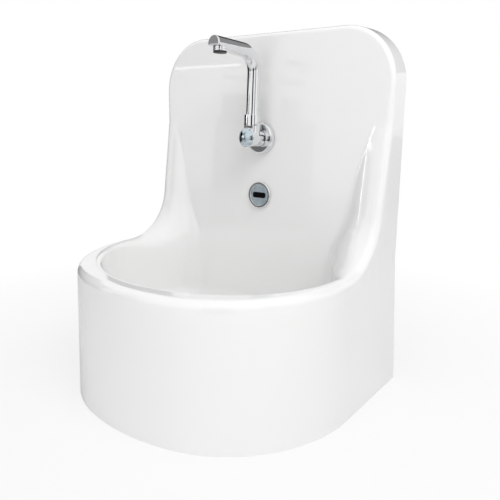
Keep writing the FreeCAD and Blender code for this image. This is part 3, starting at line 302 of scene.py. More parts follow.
def rim_loop():
    """Right half of the outer edge from the front's middle to the top's middle, as arrays along it.

    Gives the sharp edge's points, the outer wall's and the front face's normals, the edge's radius,
    the points of the bottom and wall edge below each, and which of them lie on the straight side.
    """
    shrink = DRAFT * RIM
    half, reach = HALF - shrink, DEPTH - shrink
    side, front = SIDE_RADIUS - shrink, FRONT_RADIUS - shrink
    off = half - side
    straight = reach - front + math.sqrt((front - side) ** 2 - off ** 2)
    turn = math.atan2(front - reach + straight, off)
    up = np.array([0.0, 0.0, 1.0])

    def plan(x, y, radius, angle):
        """The same arrays for an arc of the level rim about a centre."""
        n = np.stack([np.cos(angle), np.sin(angle), 0 * angle], 1)
        centre = np.array([x, y, 0.0])
        return (centre + radius * n + RIM * up, n * math.cos(PITCH) + up * math.sin(PITCH),
                np.tile(up, (len(n), 1)), np.full(len(n), RIM_EDGE), centre + (radius + shrink) * n)

    bow = plan(0.0, front - reach, front, np.linspace(-QUARTER, -turn, N_BOW, endpoint=False))
    corner = plan(off, -straight, side, np.linspace(-turn, 0.0, N_CORNER, endpoint=False))

    sweep_z = RIM + SWEEP
    sweep_d = wing_depth(sweep_z) + SWEEP / math.cos(TILT)
    a = np.linspace(0.0, QUARTER - TILT, N_SWEEP, endpoint=False)
    wing_z = np.linspace(sweep_z - SWEEP * math.sin(TILT), TIP, N_WING, endpoint=False)
    shoulder = TOP - TOP_CORNER
    edge_z = np.linspace(TIP, shoulder, N_EDGE, endpoint=False)
    d = np.concatenate([np.linspace(straight, sweep_d, N_RIM, endpoint=False),
                        sweep_d - SWEEP * np.sin(a), wing_depth(wing_z), panel_depth(edge_z)])
    z = np.concatenate([np.full(N_RIM, RIM), sweep_z - SWEEP * np.cos(a), wing_z, edge_z])
    lean = np.concatenate([np.zeros(N_RIM), a, np.full(N_WING, QUARTER - TILT),
                           np.full(N_EDGE, QUARTER - LEAN)])
    low, high = N_RIM + N_SWEEP, N_WING + N_EDGE
    upright = np.concatenate([np.zeros(N_RIM), np.linspace(0, 1, N_SWEEP), np.ones(high)])
    pitch = PITCH * (1 - ease(upright))
    foot_d = np.concatenate([np.linspace(straight, 0.0, low, endpoint=False), np.zeros(high)])
    foot_z = np.concatenate([np.zeros(low), np.linspace(0.0, shoulder, high, endpoint=False)])
    radius = np.concatenate([np.full(low, RIM_EDGE), np.linspace(RIM_EDGE, WING_EDGE, N_WING),
                             np.linspace(WING_EDGE, TOP_EDGE, N_EDGE)])
    flank = (np.stack([np.full(len(d), UPPER_HALF), -d, z], 1),
             np.stack([np.cos(pitch), 0 * pitch, np.sin(pitch)], 1),
             np.stack([0 * lean, -np.sin(lean), np.cos(lean)], 1), radius,
             np.stack([HALF - DRAFT * np.minimum(foot_z, RIM), -foot_d, foot_z], 1))

    a = np.concatenate([np.linspace(0.0, QUARTER, N_TOP_CORNER, endpoint=False),
                        np.full(N_TOP, QUARTER)])
    x = UPPER_HALF - TOP_CORNER + TOP_CORNER * np.cos(a)
    x[N_TOP_CORNER:] = np.linspace(UPPER_HALF - TOP_CORNER, 0.0, N_TOP)
    z = shoulder + TOP_CORNER * np.sin(a)
    top = (np.stack([x, -panel_depth(z), z], 1), np.stack([np.cos(a), 0 * a, np.sin(a)], 1),
           np.tile(OUT_AXIS, (len(a), 1)), np.full(len(a), TOP_EDGE), np.stack([x, 0 * x, z], 1))
    parts = [bow, corner, flank, top]
    on_side = np.concatenate([np.full(len(part[0]), part is flank) for part in parts])
    return [np.concatenate(column) for column in zip(*parts)] + [on_side]


def between(a, b, t):
    """Directions on the great circle from a to b at the shares t."""
    w = np.arccos(np.clip((a * b).sum(-1), -1, 1))[:, None]
    t = np.atleast_2d(t)
    first, last = np.sin((1 - t) * w) / np.sin(w), np.sin(t * w) / np.sin(w)
    return first[..., None] * a[:, None] + last[..., None] * b[:, None]


def seen_from_eye(direction):
    """Points where rays from the eye first leave the air: marched in even steps, then halved."""
    rays = direction.reshape(-1, 3)
    near, far = np.full(len(rays), MARCH[0]), np.full(len(rays), MARCH[-1])
    open_rays = np.ones(len(rays), bool)
    for t0, t1 in zip(MARCH, MARCH[1:]):
        todo = np.flatnonzero(open_rays)
        hit = todo[air(EYE + rays[todo] * t1) < 0]
        near[hit], far[hit] = t0, t1
        open_rays[hit] = False
    for _ in range(HALVINGS):
        middle = (near + far) / 2
        solid = air(EYE + rays * middle[:, None]) < 0
        near, far = np.where(solid, near, middle), np.where(solid, middle, far)
    return (EYE + rays * ((near + far) / 2)[:, None]).reshape(direction.shape)


def evened(paths):
    """Shares at which each trial path is cut into even steps of its length plus weighted turning.

    The cost of a step is averaged over COST_SPAN steps, and each path has its own span of the
    interpolation's axis.
    """
    step = np.diff(paths, axis=1)
    length = np.linalg.norm(step, axis=2)
    heading = step / length[..., None]
    bend = np.arccos(np.clip((heading[:, 1:] * heading[:, :-1]).sum(-1), -1, 1))
    cost = length + TURN_WEIGHT * np.pad(bend, ((0, 0), (1, 0)))
    reach = COST_SPAN // 2
    total = np.cumsum(np.pad(cost, ((0, 0), (reach + 1, reach)), mode="edge"), 1)
    cost = (total[:, COST_SPAN:] - total[:, :-COST_SPAN]) / COST_SPAN
    run = np.pad(np.cumsum(cost, 1), ((0, 0), (1, 0)))
    span = 2.0 * np.arange(len(run))[:, None]
    run = run / run[:, -1:] + span
    wanted = np.linspace(0, 1, ROWS)[None] + span
    share = np.interp(wanted.ravel(), run.ravel(), (TRIAL[None] + span).ravel())
    return share.reshape(wanted.shape) - span


def back_skin(skin):
    """The front skin moved in by SKIN along its normals, on fewer rows, from the drain to the foot.

    It drops round the drain's seat; its last row lies on the wall or level with the bottom edge.
    """
    normal = np.cross(np.roll(skin, -1, 0) - np.roll(skin, 1, 0), np.gradient(skin, axis=1))
    normal /= np.linalg.norm(normal, axis=2)[..., None]
    rows = np.concatenate([np.arange(EDGE_ROWS + ROWS - 1, EDGE_ROWS - 1, -BACK_STEP),
                           np.arange(EDGE_ROWS - 2, WALL_ROWS - 1, -BACK_ARC_STEP),
                           BACK_WALL_ROWS])
    back = (skin - SKIN * normal)[:, rows]
    far = np.hypot(back[..., 0], back[..., 1] - DRAIN_Y)
    sunk = (back[..., 2] < FLOOR) & (skin[:, rows, 2] > UNDER_BOWL)
    drop = DRAIN_SINK * (1 - ease((far - BACK_SEAT) / BACK_FADE))
    back[..., 2] -= np.where(sunk, drop, 0.0)
    at_wall = np.isclose(skin[:, 0, 1], 0.0)
    back[:, -1, 1] = np.where(at_wall, 0.0, back[:, -1, 1])
    back[:, -1, 2] = np.where(at_wall, np.maximum(back[:, -1, 2], 0.0), 0.0)
    return back


def drain_seat(ring):
    """Three rows from the dish's ring to the back skin: a step down, a level seat and the hole."""
    hub = np.array([0.0, DRAIN_Y, 0.0])
    spoke = (ring - hub) * np.array([1.0, 1.0, 0.0]) / DRAIN_RING
    middle = hub + np.array([0.0, 0.0, FLOOR - DISH_DEPTH - DRAIN_SINK])
    hole = middle + spoke * DRAIN_HOLE
    return np.stack([middle + spoke * DRAIN_RING, hole, hole - np.array([0.0, 0.0, SKIN])], 1)


def moulded_shell():
    """The moulding as a grid: u round the outer edge, v from the bottom edge to the drain.

    Rows: the straight outer wall, the edge's arc, then rays from over the bowl, spaced by length
    and turning. The drain's seat and the back skin follow, so the whole closes on itself.
    """
    edge, wall_n, face_n, radius, foot, on_side = rim_loop()
    inward = (radius / (1 + (wall_n * face_n).sum(1)))[:, None] * (wall_n + face_n)
    centre = edge - inward
    top_of_wall = centre + radius[:, None] * wall_n
    start = centre + radius[:, None] * face_n
    rise = np.linspace(0, 1, WALL_ROWS)[None, :, None]
    wall = foot[:, None] + (top_of_wall - foot)[:, None] * rise
    drafted = HALF - DRAFT * np.minimum(wall[..., 2], RIM)
    wall[..., 0] = np.where(on_side[:, None], drafted, wall[..., 0])
    share = np.linspace(0, 1, ARC_ROWS + 2)[1:-1]
    arc = centre[:, None] + radius[:, None, None] * between(wall_n, face_n, share)

    seen = np.arctan2(start[:, 1] - DRAIN_Y, start[:, 0])
    turn = FAN_SEEN * seen + FAN_EVEN * np.linspace(-QUARTER, QUARTER, len(start))
    ring = np.stack([np.cos(turn), np.sin(turn), 0 * turn], 1)
    drain = DRAIN_RING * ring + np.array([0.0, DRAIN_Y, FLOOR - DISH_DEPTH])
    first, last = (way / np.linalg.norm(way, axis=1)[:, None] for way in (start - EYE, drain - EYE))
    trial = seen_from_eye(between(first, last, TRIAL))
    trial[:, 0] = start
    inner = seen_from_eye(between(first, last, evened(trial)))
    settle = (1 - ease(np.arange(ROWS) / SETTLE))[None, :, None]
    inner += (start - inner[:, 0])[:, None] * settle

    half = np.concatenate([wall, arc, inner], 1)
    mirrored = half[-2:0:-1] * np.array([-1.0, 1.0, 1.0])
    skin = np.concatenate([half, mirrored], 0)
    grid = np.concatenate([skin, drain_seat(skin[:, -1]), back_skin(skin)], 1)
    return piece("moulded_shell", grid, wrap_v=True)


# ---------------------------------------------------------------- spout, sensor

# Spout: distances from the splashback and along it from the flange's middle.
RISER, BEND, ARM, ARM_END = 39.0, 40.0, 169.0, 167.0
RISER_PLACES = [43.6, 44.0, 60.0, 110.0]
BEND_ROWS, ARM_ROWS, TUBE_POINTS, TIP_ROWS = 40, 40, 128, 7
TUBE, TIP_HEIGHT, TIP_ROUND, FLAT_START, FLAT_EDGE = 14.0, 18.0, 1.2, 81.0, 1.6
TIP_FACE, TIP_SHARP = np.array([0.7, 0.35]), 40.0
AERATOR, AERATOR_SEAT, AERATOR_RING, AERATOR_HEIGHT = 148.5, 160.0, 13.5, 3.5
KNOB_BACK, KNOB, KNOB_EDGE, KNOB_TOP, KNOB_CAP = 52.6, 20.0, 57.1, 64.6, 18.4
CAP_ROWS, PLATE_ROWS, SCREW_POINTS = 28, 14, 32


def spout():
    """A circle carried up the riser, round the bend and along the arm.

    The arm's lower half is clipped by a plane that rises to the tip, and the end is rounded and
    closed.
    """
    foot = len(RISER_PLACES)
    bend = np.linspace(0, QUARTER, BEND_ROWS)
    a = np.concatenate([np.zeros(foot), bend, np.full(ARM_ROWS, QUARTER)])
    y = np.concatenate([RISER_PLACES, ARM - BEND + BEND * np.sin(bend), np.full(ARM_ROWS, ARM)])
    z = np.concatenate([np.full(foot, RISER), RISER + BEND - BEND * np.cos(bend),
                        np.linspace(RISER + BEND, ARM_END - TIP_ROUND, ARM_ROWS + 1)[1:]])
    turn = np.linspace(0, TURN, TUBE_POINTS, endpoint=False)[:, None]
    across, out = TUBE * np.cos(turn) + 0 * a, TUBE * np.sin(turn) + 0 * a
    rise = (2 * TUBE - TIP_HEIGHT) * (z - FLAT_START) / (ARM_END - FLAT_START)
    flat = np.where(z > FLAT_START, rise - TUBE, -2 * TUBE)[None]
    clipped = -soft_min(-out, -flat + 0 * out, FLAT_EDGE)
    out = np.where(np.isclose(a, QUARTER)[None], clipped, out)
    grid = np.stack([across, y + out * np.sin(a), z - out * np.cos(a)], -1)
    last = grid[:, -1]
    middle = np.array([0.0, ARM + TUBE - TIP_HEIGHT / 2, ARM_END])
    t = np.linspace(0, QUARTER, TIP_ROWS)[1:]
    shrink = 1 - TIP_ROUND * (1 - np.cos(t)) / TUBE
    tip = middle + (last - middle)[:, None] * np.stack([shrink, shrink, 0 * t], -1)
    tip[..., 2] = ARM_END - TIP_ROUND + TIP_ROUND * np.sin(t)
    face = middle + (tip[:, -1:] - middle) * TIP_FACE[None, :, None]
    poles = [(0.0, RISER_PLACES[0], RISER), tuple(middle)]
    return panel_piece("spout", np.concatenate([grid, tip, face], 1), SPOUT_HEIGHT, poles,
                       sharp=TIP_SHARP)


def knob_dome(r):
    """Height of the knob's ball over the splashback at a distance from its axis."""
    dome = KNOB_TOP - KNOB_EDGE
    ball = (KNOB ** 2 + dome ** 2) / (2 * dome)
    return KNOB_TOP - ball + np.sqrt(ball ** 2 - r ** 2)


def knob_rim():
    """The knob's skirt and shoulder: a profile turned about its axis, hollow for the cap."""
    groove, ledge = 0.3, 0.8
    lip = knob_dome(KNOB_CAP)
    corners = [(0.0, KNOB_BACK), (KNOB, KNOB_BACK), (KNOB, KNOB_EDGE), (KNOB_CAP + groove, lip),
               (KNOB_CAP, lip - ledge), (0.0, lip - ledge)]
    return turned("knob_rim", rounded(corners, [0.8, 0.9, 0.2, 0.0]), SPOUT_HEIGHT)


def knob_cap():
    """The knob's cap: part of a ball turned about its axis, with a small round at its edge."""
    gap, bevel, rise, shoulder, sunk = 0.1, 0.2, 0.3, 0.5, 0.7
    low, side = knob_dome(KNOB_CAP) - sunk, KNOB_CAP - bevel
    edge = [(0.0, low), (side, low), (KNOB_CAP - gap, low + rise), (side, knob_dome(side) - gap)]
    r = np.linspace(KNOB_CAP - shoulder, 0.0, CAP_ROWS)[:-1]
    dome = np.stack([r, knob_dome(r)], 1).tolist()
    return turned("knob_cap", edge + dome + [(0.0, KNOB_TOP)], SPOUT_HEIGHT)


def collar():
    """The swivel's collar: a tall turned ring with rounded edges, its lip close round the riser."""
    inside, outside, lip = 15.2, 17.5, 14.1
    low, seam, under_lip, top = 24.1, 30.0, 43.9, 47.0
    corners = [(inside, seam), (inside, low), (outside, low), (outside, top), (lip, top),
               (lip, under_lip), (inside, under_lip), (inside, seam + SEAM_GAP)]
    profile = rounded(corners, [0.3, 0.5, 1.0, 0.4, 0.0, 0.0])
    return turned("collar", profile, SPOUT_HEIGHT, axis="up", offset=RISER, ring=True)


def wall_cup():
    """The flange: a shallow cup turned about the spout's axis, its lip rounded in to the body."""
    inside, outside, hole, bevel = 30.0, 32.5, 17.8, 0.5
    back, seam, hollow, front = 1.6, 5.0, 11.5, 13.5
    corners = [(inside, seam), (inside + bevel, back), (outside, back), (outside, front),
               (hole, front), (hole, hollow), (inside, hollow), (inside, seam + SEAM_GAP)]
    profile = rounded(corners, [0.2, 0.3, 4.0, 0.7, 0.3, 1.5])
    return turned("wall_cup", profile, SPOUT_HEIGHT, ring=True)


def aerator_boss():
    """Short boss under the arm's end that carries the aerator: a rounded cylinder."""
    inset, height = 0.3, 6.0
    wide, top = AERATOR_RING - inset, AERATOR_SEAT + height
    corners = [(0.0, AERATOR_SEAT), (wide, AERATOR_SEAT), (wide, top), (0.0, top)]
    return turned("aerator_boss", rounded(corners, [0.3, 1.5]), SPOUT_HEIGHT, axis="up",
                  offset=AERATOR)


def aerator_ring():
    """The aerator's ring: a short turned wall with rounded edges between boss and nozzle."""
    thick, seam, gap, overlap = 4.0, 2.2, 0.1, 0.05
    out, inside = AERATOR_RING, AERATOR_RING - thick
    top, low = AERATOR_SEAT - gap, AERATOR_SEAT - AERATOR_HEIGHT + overlap
    corners = [(out - seam, top), (inside, top), (inside, low), (out, low), (out, top),
               (out - seam + SEAM_GAP, top)]
    profile = rounded(corners, [0.0, 0.0, 0.5, 0.4])
    return turned("aerator_ring", profile, SPOUT_HEIGHT, axis="up", offset=AERATOR, ring=True)


def grub_screw():
    """A headless screw with a small socket, flush in the collar's right side.

    Its profile is turned about its own axis, which runs across the splashback.
    """
    height, wide, socket = 31.0, 1.5, 0.8
    inner, floor, outer = 15.1, 16.6, 17.55
    corners = [(0.0, inner), (wide, inner), (wide, outer), (socket, outer), (socket, floor),
               (0.0, floor)]
    profile = np.array(rounded(corners, [0.0, 0.2, 0.1, 0.0]))
    angle = np.linspace(0, TURN, SCREW_POINTS, endpoint=False)[:, None]
    radius, along = profile[None, :, 0], profile[None, :, 1]
    grid = np.stack([along + 0 * angle, height + radius * np.cos(angle),
                     RISER + radius * np.sin(angle)], -1)
    poles = [(x, height, RISER) for x in (inner, floor)]
    return panel_piece("grub_screw", grid, SPOUT_HEIGHT, poles)


def sensor_ring():
    """The sensor's bezel: a turned ring with a round shoulder that falls away to the face."""
    inside, outside, bevel = 22.8, 29.0, 0.8
    back, seam, front = 1.0, 3.0, 5.5
    corners = [(inside, seam), (inside, back), (outside, back), (outside, front),
               (inside + bevel, front), (inside, front - bevel), (inside, seam + SEAM_GAP)]
    profile = rounded(corners, [0.0, 0.2, 2.0, 0.5, 0.2])
    return turned("sensor_ring", profile, SENSOR_HEIGHT, ring=True)


def sensor_plate():
    """The sensor's face: a turned disc with a soft edge, dished by the square of the radius."""
    back, middle, edge, dish, dish_radius = 2.8, 4.0, 4.25, 0.3, 22.0
    outer, soft, flat = 22.5, 22.3, 21.9
    r = np.linspace(flat, 0.0, PLATE_ROWS)[:-1]
    face = np.stack([r, middle + dish * (r / dish_radius) ** 2], 1).tolist()
    rim = [(0.0, back), (outer, back), (outer, middle), (soft, edge)]
    return turned("sensor_plate", rim + face + [(0.0, middle)], SENSOR_HEIGHT)


def sensor_pane():
    """The window: a bar with round corners, whose rows shrink to the middle over a soft edge."""
    corner, half_w, half_h = 4.9, 16.9, 6.1
    turn = np.linspace(0, TURN, RING_POINTS, endpoint=False)
    x = np.sign(np.cos(turn)) * (half_w - corner) + corner * np.cos(turn)
    y = np.sign(np.sin(turn)) * (half_h - corner) + corner * np.sin(turn)
    inset = np.array([0.0, 0.0, 0.08, 0.25, 0.5, 2.5, 4.5])
    z = np.array([2.8, 4.2, 4.5, 4.64, 4.7, 4.7, 4.7])
    grid = np.stack([x[:, None] * (1 - inset / half_w), y[:, None] * (1 - inset / half_h),
                     z + 0 * x[:, None]], -1)
    return panel_piece("sensor_pane", grid, SENSOR_HEIGHT, [(0.0, 0.0, z[0]), (0.0, 0.0, z[-1])])


# ---------------------------------------------------------------- finishes

NUMBER, COLOUR, VECTOR = "NodeSocketFloat", "NodeSocketColor", "NodeSocketVector"
FINE = 0.0002                   # distance of the relief under most finishes


def add(tree, kind, values=None, **settings):
    """A node with its settings, and its inputs set to values or linked to sockets."""
    made = tree.nodes.new(kind)
    for key, value in settings.items():
        setattr(made, key, value)
    for key, value in (values or {}).items():
        if isinstance(value, bpy.types.NodeSocket):
            tree.links.new(value, made.inputs[key])
        else:
            made.inputs[key].default_value = value
    return made


def group(name, inputs, outputs):
    """An empty shader group with its sockets: (name, kind, value) in and (name, kind) out."""
    tree = bpy.data.node_groups.new(name, "ShaderNodeTree")
    for title, kind, value in inputs:
        made = tree.interface.new_socket(name=title, in_out="INPUT", socket_type=kind)
        made.default_value = value
    for title, kind in outputs:
        tree.interface.new_socket(name=title, in_out="OUTPUT", socket_type=kind)
    return tree, tree.nodes.new("NodeGroupInput"), tree.nodes.new("NodeGroupOutput")


def cloudy_tone():
    """A colour whose value drifts a little in large soft clouds."""
    inputs = [("Colour", COLOUR, (0.8, 0.8, 0.8, 1)), ("Scale", NUMBER, 6.0),
              ("Amount", NUMBER, 0.03)]
    tree, inside, out = group("cloudy_tone", inputs, [("Colour", COLOUR)])
    place = add(tree, "ShaderNodeTexCoord")
    cloud = add(tree, "ShaderNodeTexNoise", {
        "Vector": place.outputs["Object"], "Scale": inside.outputs["Scale"], "Detail": 3.0})
    swing = add(tree, "ShaderNodeMath", {0: cloud.outputs["Fac"], 1: 0.5}, operation="SUBTRACT")
    value = add(tree, "ShaderNodeMath", {0: swing.outputs[0], 1: inside.outputs["Amount"], 2: 1.0},
                operation="MULTIPLY_ADD")
    tint = add(tree, "ShaderNodeHueSaturation", {
        "Color": inside.outputs["Colour"], "Value": value.outputs[0]})
    tree.links.new(tint.outputs["Color"], out.inputs["Colour"])
    return tree


def marks_group(name, inputs):
    """A group of marks: its own inputs and two roughnesses in, a height and a roughness out."""
    ends = [("Smooth", NUMBER, 0.2), ("Rough", NUMBER, 0.4)]
    return group(name, inputs + ends, [("Height", NUMBER), ("Roughness", NUMBER)])


def give_marks(tree, inside, out, height, noise, swing):
    """Ends a group of marks: its height, and a noise about one half spread over the roughnesses."""
    span = add(tree, "ShaderNodeMapRange", {
        "Value": noise.outputs["Fac"], "From Min": 0.5 - swing, "From Max": 0.5 + swing,
        "To Min": inside.outputs["Smooth"], "To Max": inside.outputs["Rough"]})
    tree.links.new(height.outputs["Fac"], out.inputs["Height"])
    tree.links.new(span.outputs["Result"], out.inputs["Roughness"])
    return tree


def even_grain():
    """Noise of one grain size for the height, and wider smears for the roughness."""
    tree, inside, out = marks_group("even_grain", [("Scale", NUMBER, 300.0)])
    place = add(tree, "ShaderNodeTexCoord")
    specks = add(tree, "ShaderNodeTexNoise", {
        "Vector": place.outputs["Object"], "Scale": inside.outputs["Scale"], "Detail": 2.0})
    smear = add(tree, "ShaderNodeTexNoise", {
        "Vector": place.outputs["Object"], "Scale": 23.0, "Detail": 4.0})
    return give_marks(tree, inside, out, specks, smear, swing=0.2)


def drawn_lines():
    """Fine lines along one direction, as brushing or drawing leaves: noise stretched along it."""
    tree, inside, out = marks_group("drawn_lines", [("Stretch", VECTOR, (20.0, 900.0, 900.0))])
    place = add(tree, "ShaderNodeTexCoord")
    long = add(tree, "ShaderNodeVectorMath", {
        0: place.outputs["Object"], 1: inside.outputs["Stretch"]}, operation="MULTIPLY")
    streaks = add(tree, "ShaderNodeTexNoise", {
        "Vector": long.outputs["Vector"], "Scale": 1.0, "Detail": 3.0})
    return give_marks(tree, inside, out, streaks, streaks, swing=0.25)


def off_line(tree, arm, axis):
    """Distance from a line: the length of the cross product of an arm from it and its direction."""
    side = add(tree, "ShaderNodeVectorMath", {0: arm.outputs["Vector"], 1: axis},
               operation="CROSS_PRODUCT")
    return add(tree, "ShaderNodeVectorMath", {0: side.outputs["Vector"]}, operation="LENGTH")


def spun_rings():
    """Fine rings about an axis, as a lathe leaves: noise of the distance from the axis."""
    tree, inside, out = marks_group("spun_rings", [
        ("Centre", VECTOR, (0, 0, 0)), ("Axis", VECTOR, (0, -1, 0)), ("Scale", NUMBER, 2500.0)])
    place = add(tree, "ShaderNodeTexCoord")
    arm = add(tree, "ShaderNodeVectorMath", {
        0: place.outputs["Object"], 1: inside.outputs["Centre"]}, operation="SUBTRACT")
    away = off_line(tree, arm, inside.outputs["Axis"])
    circles = add(tree, "ShaderNodeTexNoise", {
        "W": away.outputs["Value"], "Scale": inside.outputs["Scale"], "Detail": 3.0},
        noise_dimensions="1D")
    return give_marks(tree, inside, out, circles, circles, swing=0.25)


TONE, GRAIN, LINES, RINGS = cloudy_tone(), even_grain(), drawn_lines(), spun_rings()


def grain(scale, smooth, rough):
    """Marks of even grain."""
    return GRAIN, {"Scale": scale, "Smooth": smooth, "Rough": rough}


def lines(stretch, smooth, rough):
    """Marks of drawn lines."""
    return LINES, {"Stretch": stretch, "Smooth": smooth, "Rough": rough}


def rings(centre, axis, scale, smooth, rough):
    """Marks of spun rings."""
    return RINGS, {"Centre": centre, "Axis": axis, "Scale": scale, "Smooth": smooth, "Rough": rough}


def finish(name, colour, marks, bump, tone, depth=FINE, **sockets):
    """A finish: drifting tone for the colour, marks for the roughness, their height as a fine bump.

    tone is the clouds' scale and amount; bump and depth are the relief's strength and distance.
    """
    made = bpy.data.materials.new(name)
    made.use_nodes = True
    tree = made.node_tree
    shader = tree.nodes["Principled BSDF"]
    for key, value in sockets.items():
        shader.inputs[key.replace("_", " ").title().replace("Ior", "IOR")].default_value = value
    scale, amount = tone
    hue = add(tree, "ShaderNodeGroup", {
        "Colour": (*colour, 1.0), "Scale": scale, "Amount": amount}, node_tree=TONE)
    texture, values = marks
    surface = add(tree, "ShaderNodeGroup", values, node_tree=texture)
    relief = add(tree, "ShaderNodeBump", {
        "Height": surface.outputs["Height"], "Strength": bump, "Distance": depth})
    tree.links.new(hue.outputs["Colour"], shader.inputs["Base Color"])
    tree.links.new(surface.outputs["Roughness"], shader.inputs["Roughness"])
    tree.links.new(relief.outputs["Normal"], shader.inputs["Normal"])
    return made


def panel_hub(height):
    """The middle of the splashback's face at a height, in the frame's metres."""
    return tuple(in_frame(on_panel(np.zeros(3), height)))


SPOUT_HUB, SENSOR_HUB = panel_hub(SPOUT_HEIGHT), panel_hub(SENSOR_HEIGHT)
DRAIN_HUB, UP_AXIS = (0.0, DRAIN_Y * METRE, 0.0), (0.0, 0.0, 1.0)

gelcoat = finish(
    "gelcoat", (0.885, 0.885, 0.88), grain(60.0, 0.14, 0.2), bump=0.05, depth=0.0006,
    tone=(3.0, 0.025), specular_ior_level=0.15, coat_weight=1.0, coat_roughness=0.03)
chrome = finish(
    "polished_chrome", (0.80, 0.81, 0.82), grain(240.0, 0.015, 0.05), bump=0.02,
    tone=(30.0, 0.05), metallic=1.0)
spun_chrome = finish(
    "spun_chrome", (0.80, 0.81, 0.82), rings(SPOUT_HUB, OUT_AXIS, 1500.0, 0.04, 0.12), bump=0.2,
    tone=(30.0, 0.05), metallic=1.0)
# The knob cap's chrome: its blue-grey base colour is a painted reflection.
chrome_painted_reflection = finish(
    "chrome_painted_reflection", (0.56, 0.65, 0.70), rings(SPOUT_HUB, OUT_AXIS, 1500.0, 0.04, 0.12), bump=0.6,
    tone=(60.0, 0.1), metallic=1.0)
face_steel = finish(
    "satin_sensor_face", (0.50, 0.59, 0.65), rings(SENSOR_HUB, OUT_AXIS, 1800.0, 0.26, 0.42),
    bump=0.15, tone=(110.0, 0.7), metallic=0.85)
pane_black = finish(
    "sensor_pane_black", (0.004, 0.004, 0.005), grain(400.0, 0.05, 0.12), bump=0.02,
    tone=(40.0, 0.4), specular_ior_level=0.12)
steel = finish(
    "brushed_steel", (0.56, 0.57, 0.58), lines((18.0, 900.0, 900.0), 0.22, 0.42), bump=0.2,
    tone=(9.0, 0.12), metallic=1.0)
spun_steel = finish(
    "spun_steel", (0.58, 0.59, 0.60), rings(DRAIN_HUB, UP_AXIS, 1500.0, 0.16, 0.34), bump=0.15,
    tone=(25.0, 0.1), metallic=1.0)
dark_steel = finish(
    "dark_screw", (0.02, 0.02, 0.022), grain(900.0, 0.3, 0.45), bump=0.1, tone=(200.0, 0.2),
    specular_ior_level=0.2)
brass = finish(
    "turned_brass", (0.66, 0.50, 0.22), lines((700.0, 700.0, 60.0), 0.2, 0.36), bump=0.15,
    tone=(28.0, 0.25), metallic=1.0)
copper = finish(
    "drawn_copper", (0.70, 0.36, 0.22), lines((600.0, 600.0, 30.0), 0.2, 0.4), bump=0.1,
    tone=(45.0, 0.45), metallic=1.0)
rubber = finish(
    "seal_rubber", (0.035, 0.035, 0.036), grain(1400.0, 0.6, 0.8), bump=0.3, tone=(60.0, 0.3))
white_plastic = finish(
    "white_plastic", (0.76, 0.76, 0.74), grain(1100.0, 0.34, 0.46), bump=0.12, tone=(9.0, 0.05))
grey_plastic = finish(
    "grey_plastic", (0.36, 0.38, 0.40), grain(1500.0, 0.42, 0.58), bump=0.35, tone=(10.0, 0.08))
black_plastic = finish(
    "black_plastic", (0.03, 0.03, 0.033), grain(1500.0, 0.38, 0.56), bump=0.3, tone=(20.0, 0.2),
    specular_ior_level=0.15)
board_green = finish(
    "lacquered_board", (0.03, 0.17, 0.08), lines((260.0, 30.0, 900.0), 0.2, 0.5), bump=0.3,
    tone=(120.0, 0.6))

FINISH_OF_SLOT = {
    "shell": gelcoat, "steel": steel, "chrome": chrome, "brass": brass, "copper": copper,
    "rubber": rubber, "white_plastic": white_plastic, "grey_plastic": grey_plastic,
    "black_plastic": black_plastic, "sensor_window": pane_black, "sensor_face": face_steel,
    "green_board": board_green}
FINISH_OF_NODE = {"drain_body": spun_steel, "drain_strainer": spun_steel}


def soften():
    """Geometry nodes for the solids' loose triangles: join, shade smooth and keep sharp edges."""
    tree = bpy.data.node_groups.new("soften", "GeometryNodeTree")
    for way in ("INPUT", "OUTPUT"):
        tree.interface.new_socket(name="Geometry", in_out=way, socket_type="NodeSocketGeometry")
    source, out = tree.nodes.new("NodeGroupInput"), tree.nodes.new("NodeGroupOutput")
    joined = add(tree, "GeometryNodeMergeByDistance", {
        "Geometry": source.outputs[0], "Distance": 1e-5})
    smooth = add(tree, "GeometryNodeSetShadeSmooth", {
        "Geometry": joined.outputs[0], "Shade Smooth": True}, domain="FACE")
    angle = add(tree, "GeometryNodeInputMeshEdgeAngle")
    steep = add(tree, "FunctionNodeCompare", {
        "A": angle.outputs[0], "B": math.radians(SMOOTH_ANGLE)}, data_type="FLOAT",
        operation="GREATER_THAN")
    sharp = add(tree, "GeometryNodeSetShadeSmooth", {
        "Geometry": smooth.outputs[0], "Selection": steep.outputs[0], "Shade Smooth": False},
        domain="EDGE")
    tree.links.new(sharp.outputs[0], out.inputs[0])
    return tree


SOFTEN = soften()
for subpart in frame["record"]["subparts"]:
    node = frame["nodes"][subpart["node"]]
    node.data.materials.clear()
    of_slot = FINISH_OF_SLOT[subpart["material_slot"]]
    node.data.materials.append(FINISH_OF_NODE.get(node.name, of_slot))
    node.modifiers.new("soften", "NODES").node_group = SOFTEN


# ---------------------------------------------------------------- pieces on their bodies

def dress(made, body, material, slot, *nodes):
    """Gives a piece its finish and its body, and hides the nodes it stands for; slot is not used.
    """
    made.data.materials.append(material)
    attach(made, body)
    if nodes:
        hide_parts(*nodes)


dress(moulded_shell(), "sink", gelcoat, "shell", "sink_shell")
dress(wall_cup(), "sink", spun_chrome, "chrome", "spout_flange")
dress(collar(), "sink", chrome, "chrome", "swivel_collar")
dress(grub_screw(), "sink", dark_steel, "steel", "collar_screw")
dress(spout(), "spout", chrome, "chrome", "spout_tube")
dress(aerator_boss(), "spout", chrome, "chrome")
dress(aerator_ring(), "spout", chrome, "chrome", "aerator_housing")
dress(knob_rim(), "front_knob", chrome, "chrome", "front_knob")
dress(knob_cap(), "front_knob", chrome_painted_reflection, "chrome")
dress(sensor_ring(), "sink", chrome, "chrome", "sensor_bezel")
dress(sensor_plate(), "sink", face_steel, "sensor_face", "sensor_face")
dress(sensor_pane(), "sink", pane_black, "sensor_window", "sensor_window")


# ---------------------------------------------------------------- camera, floor, light

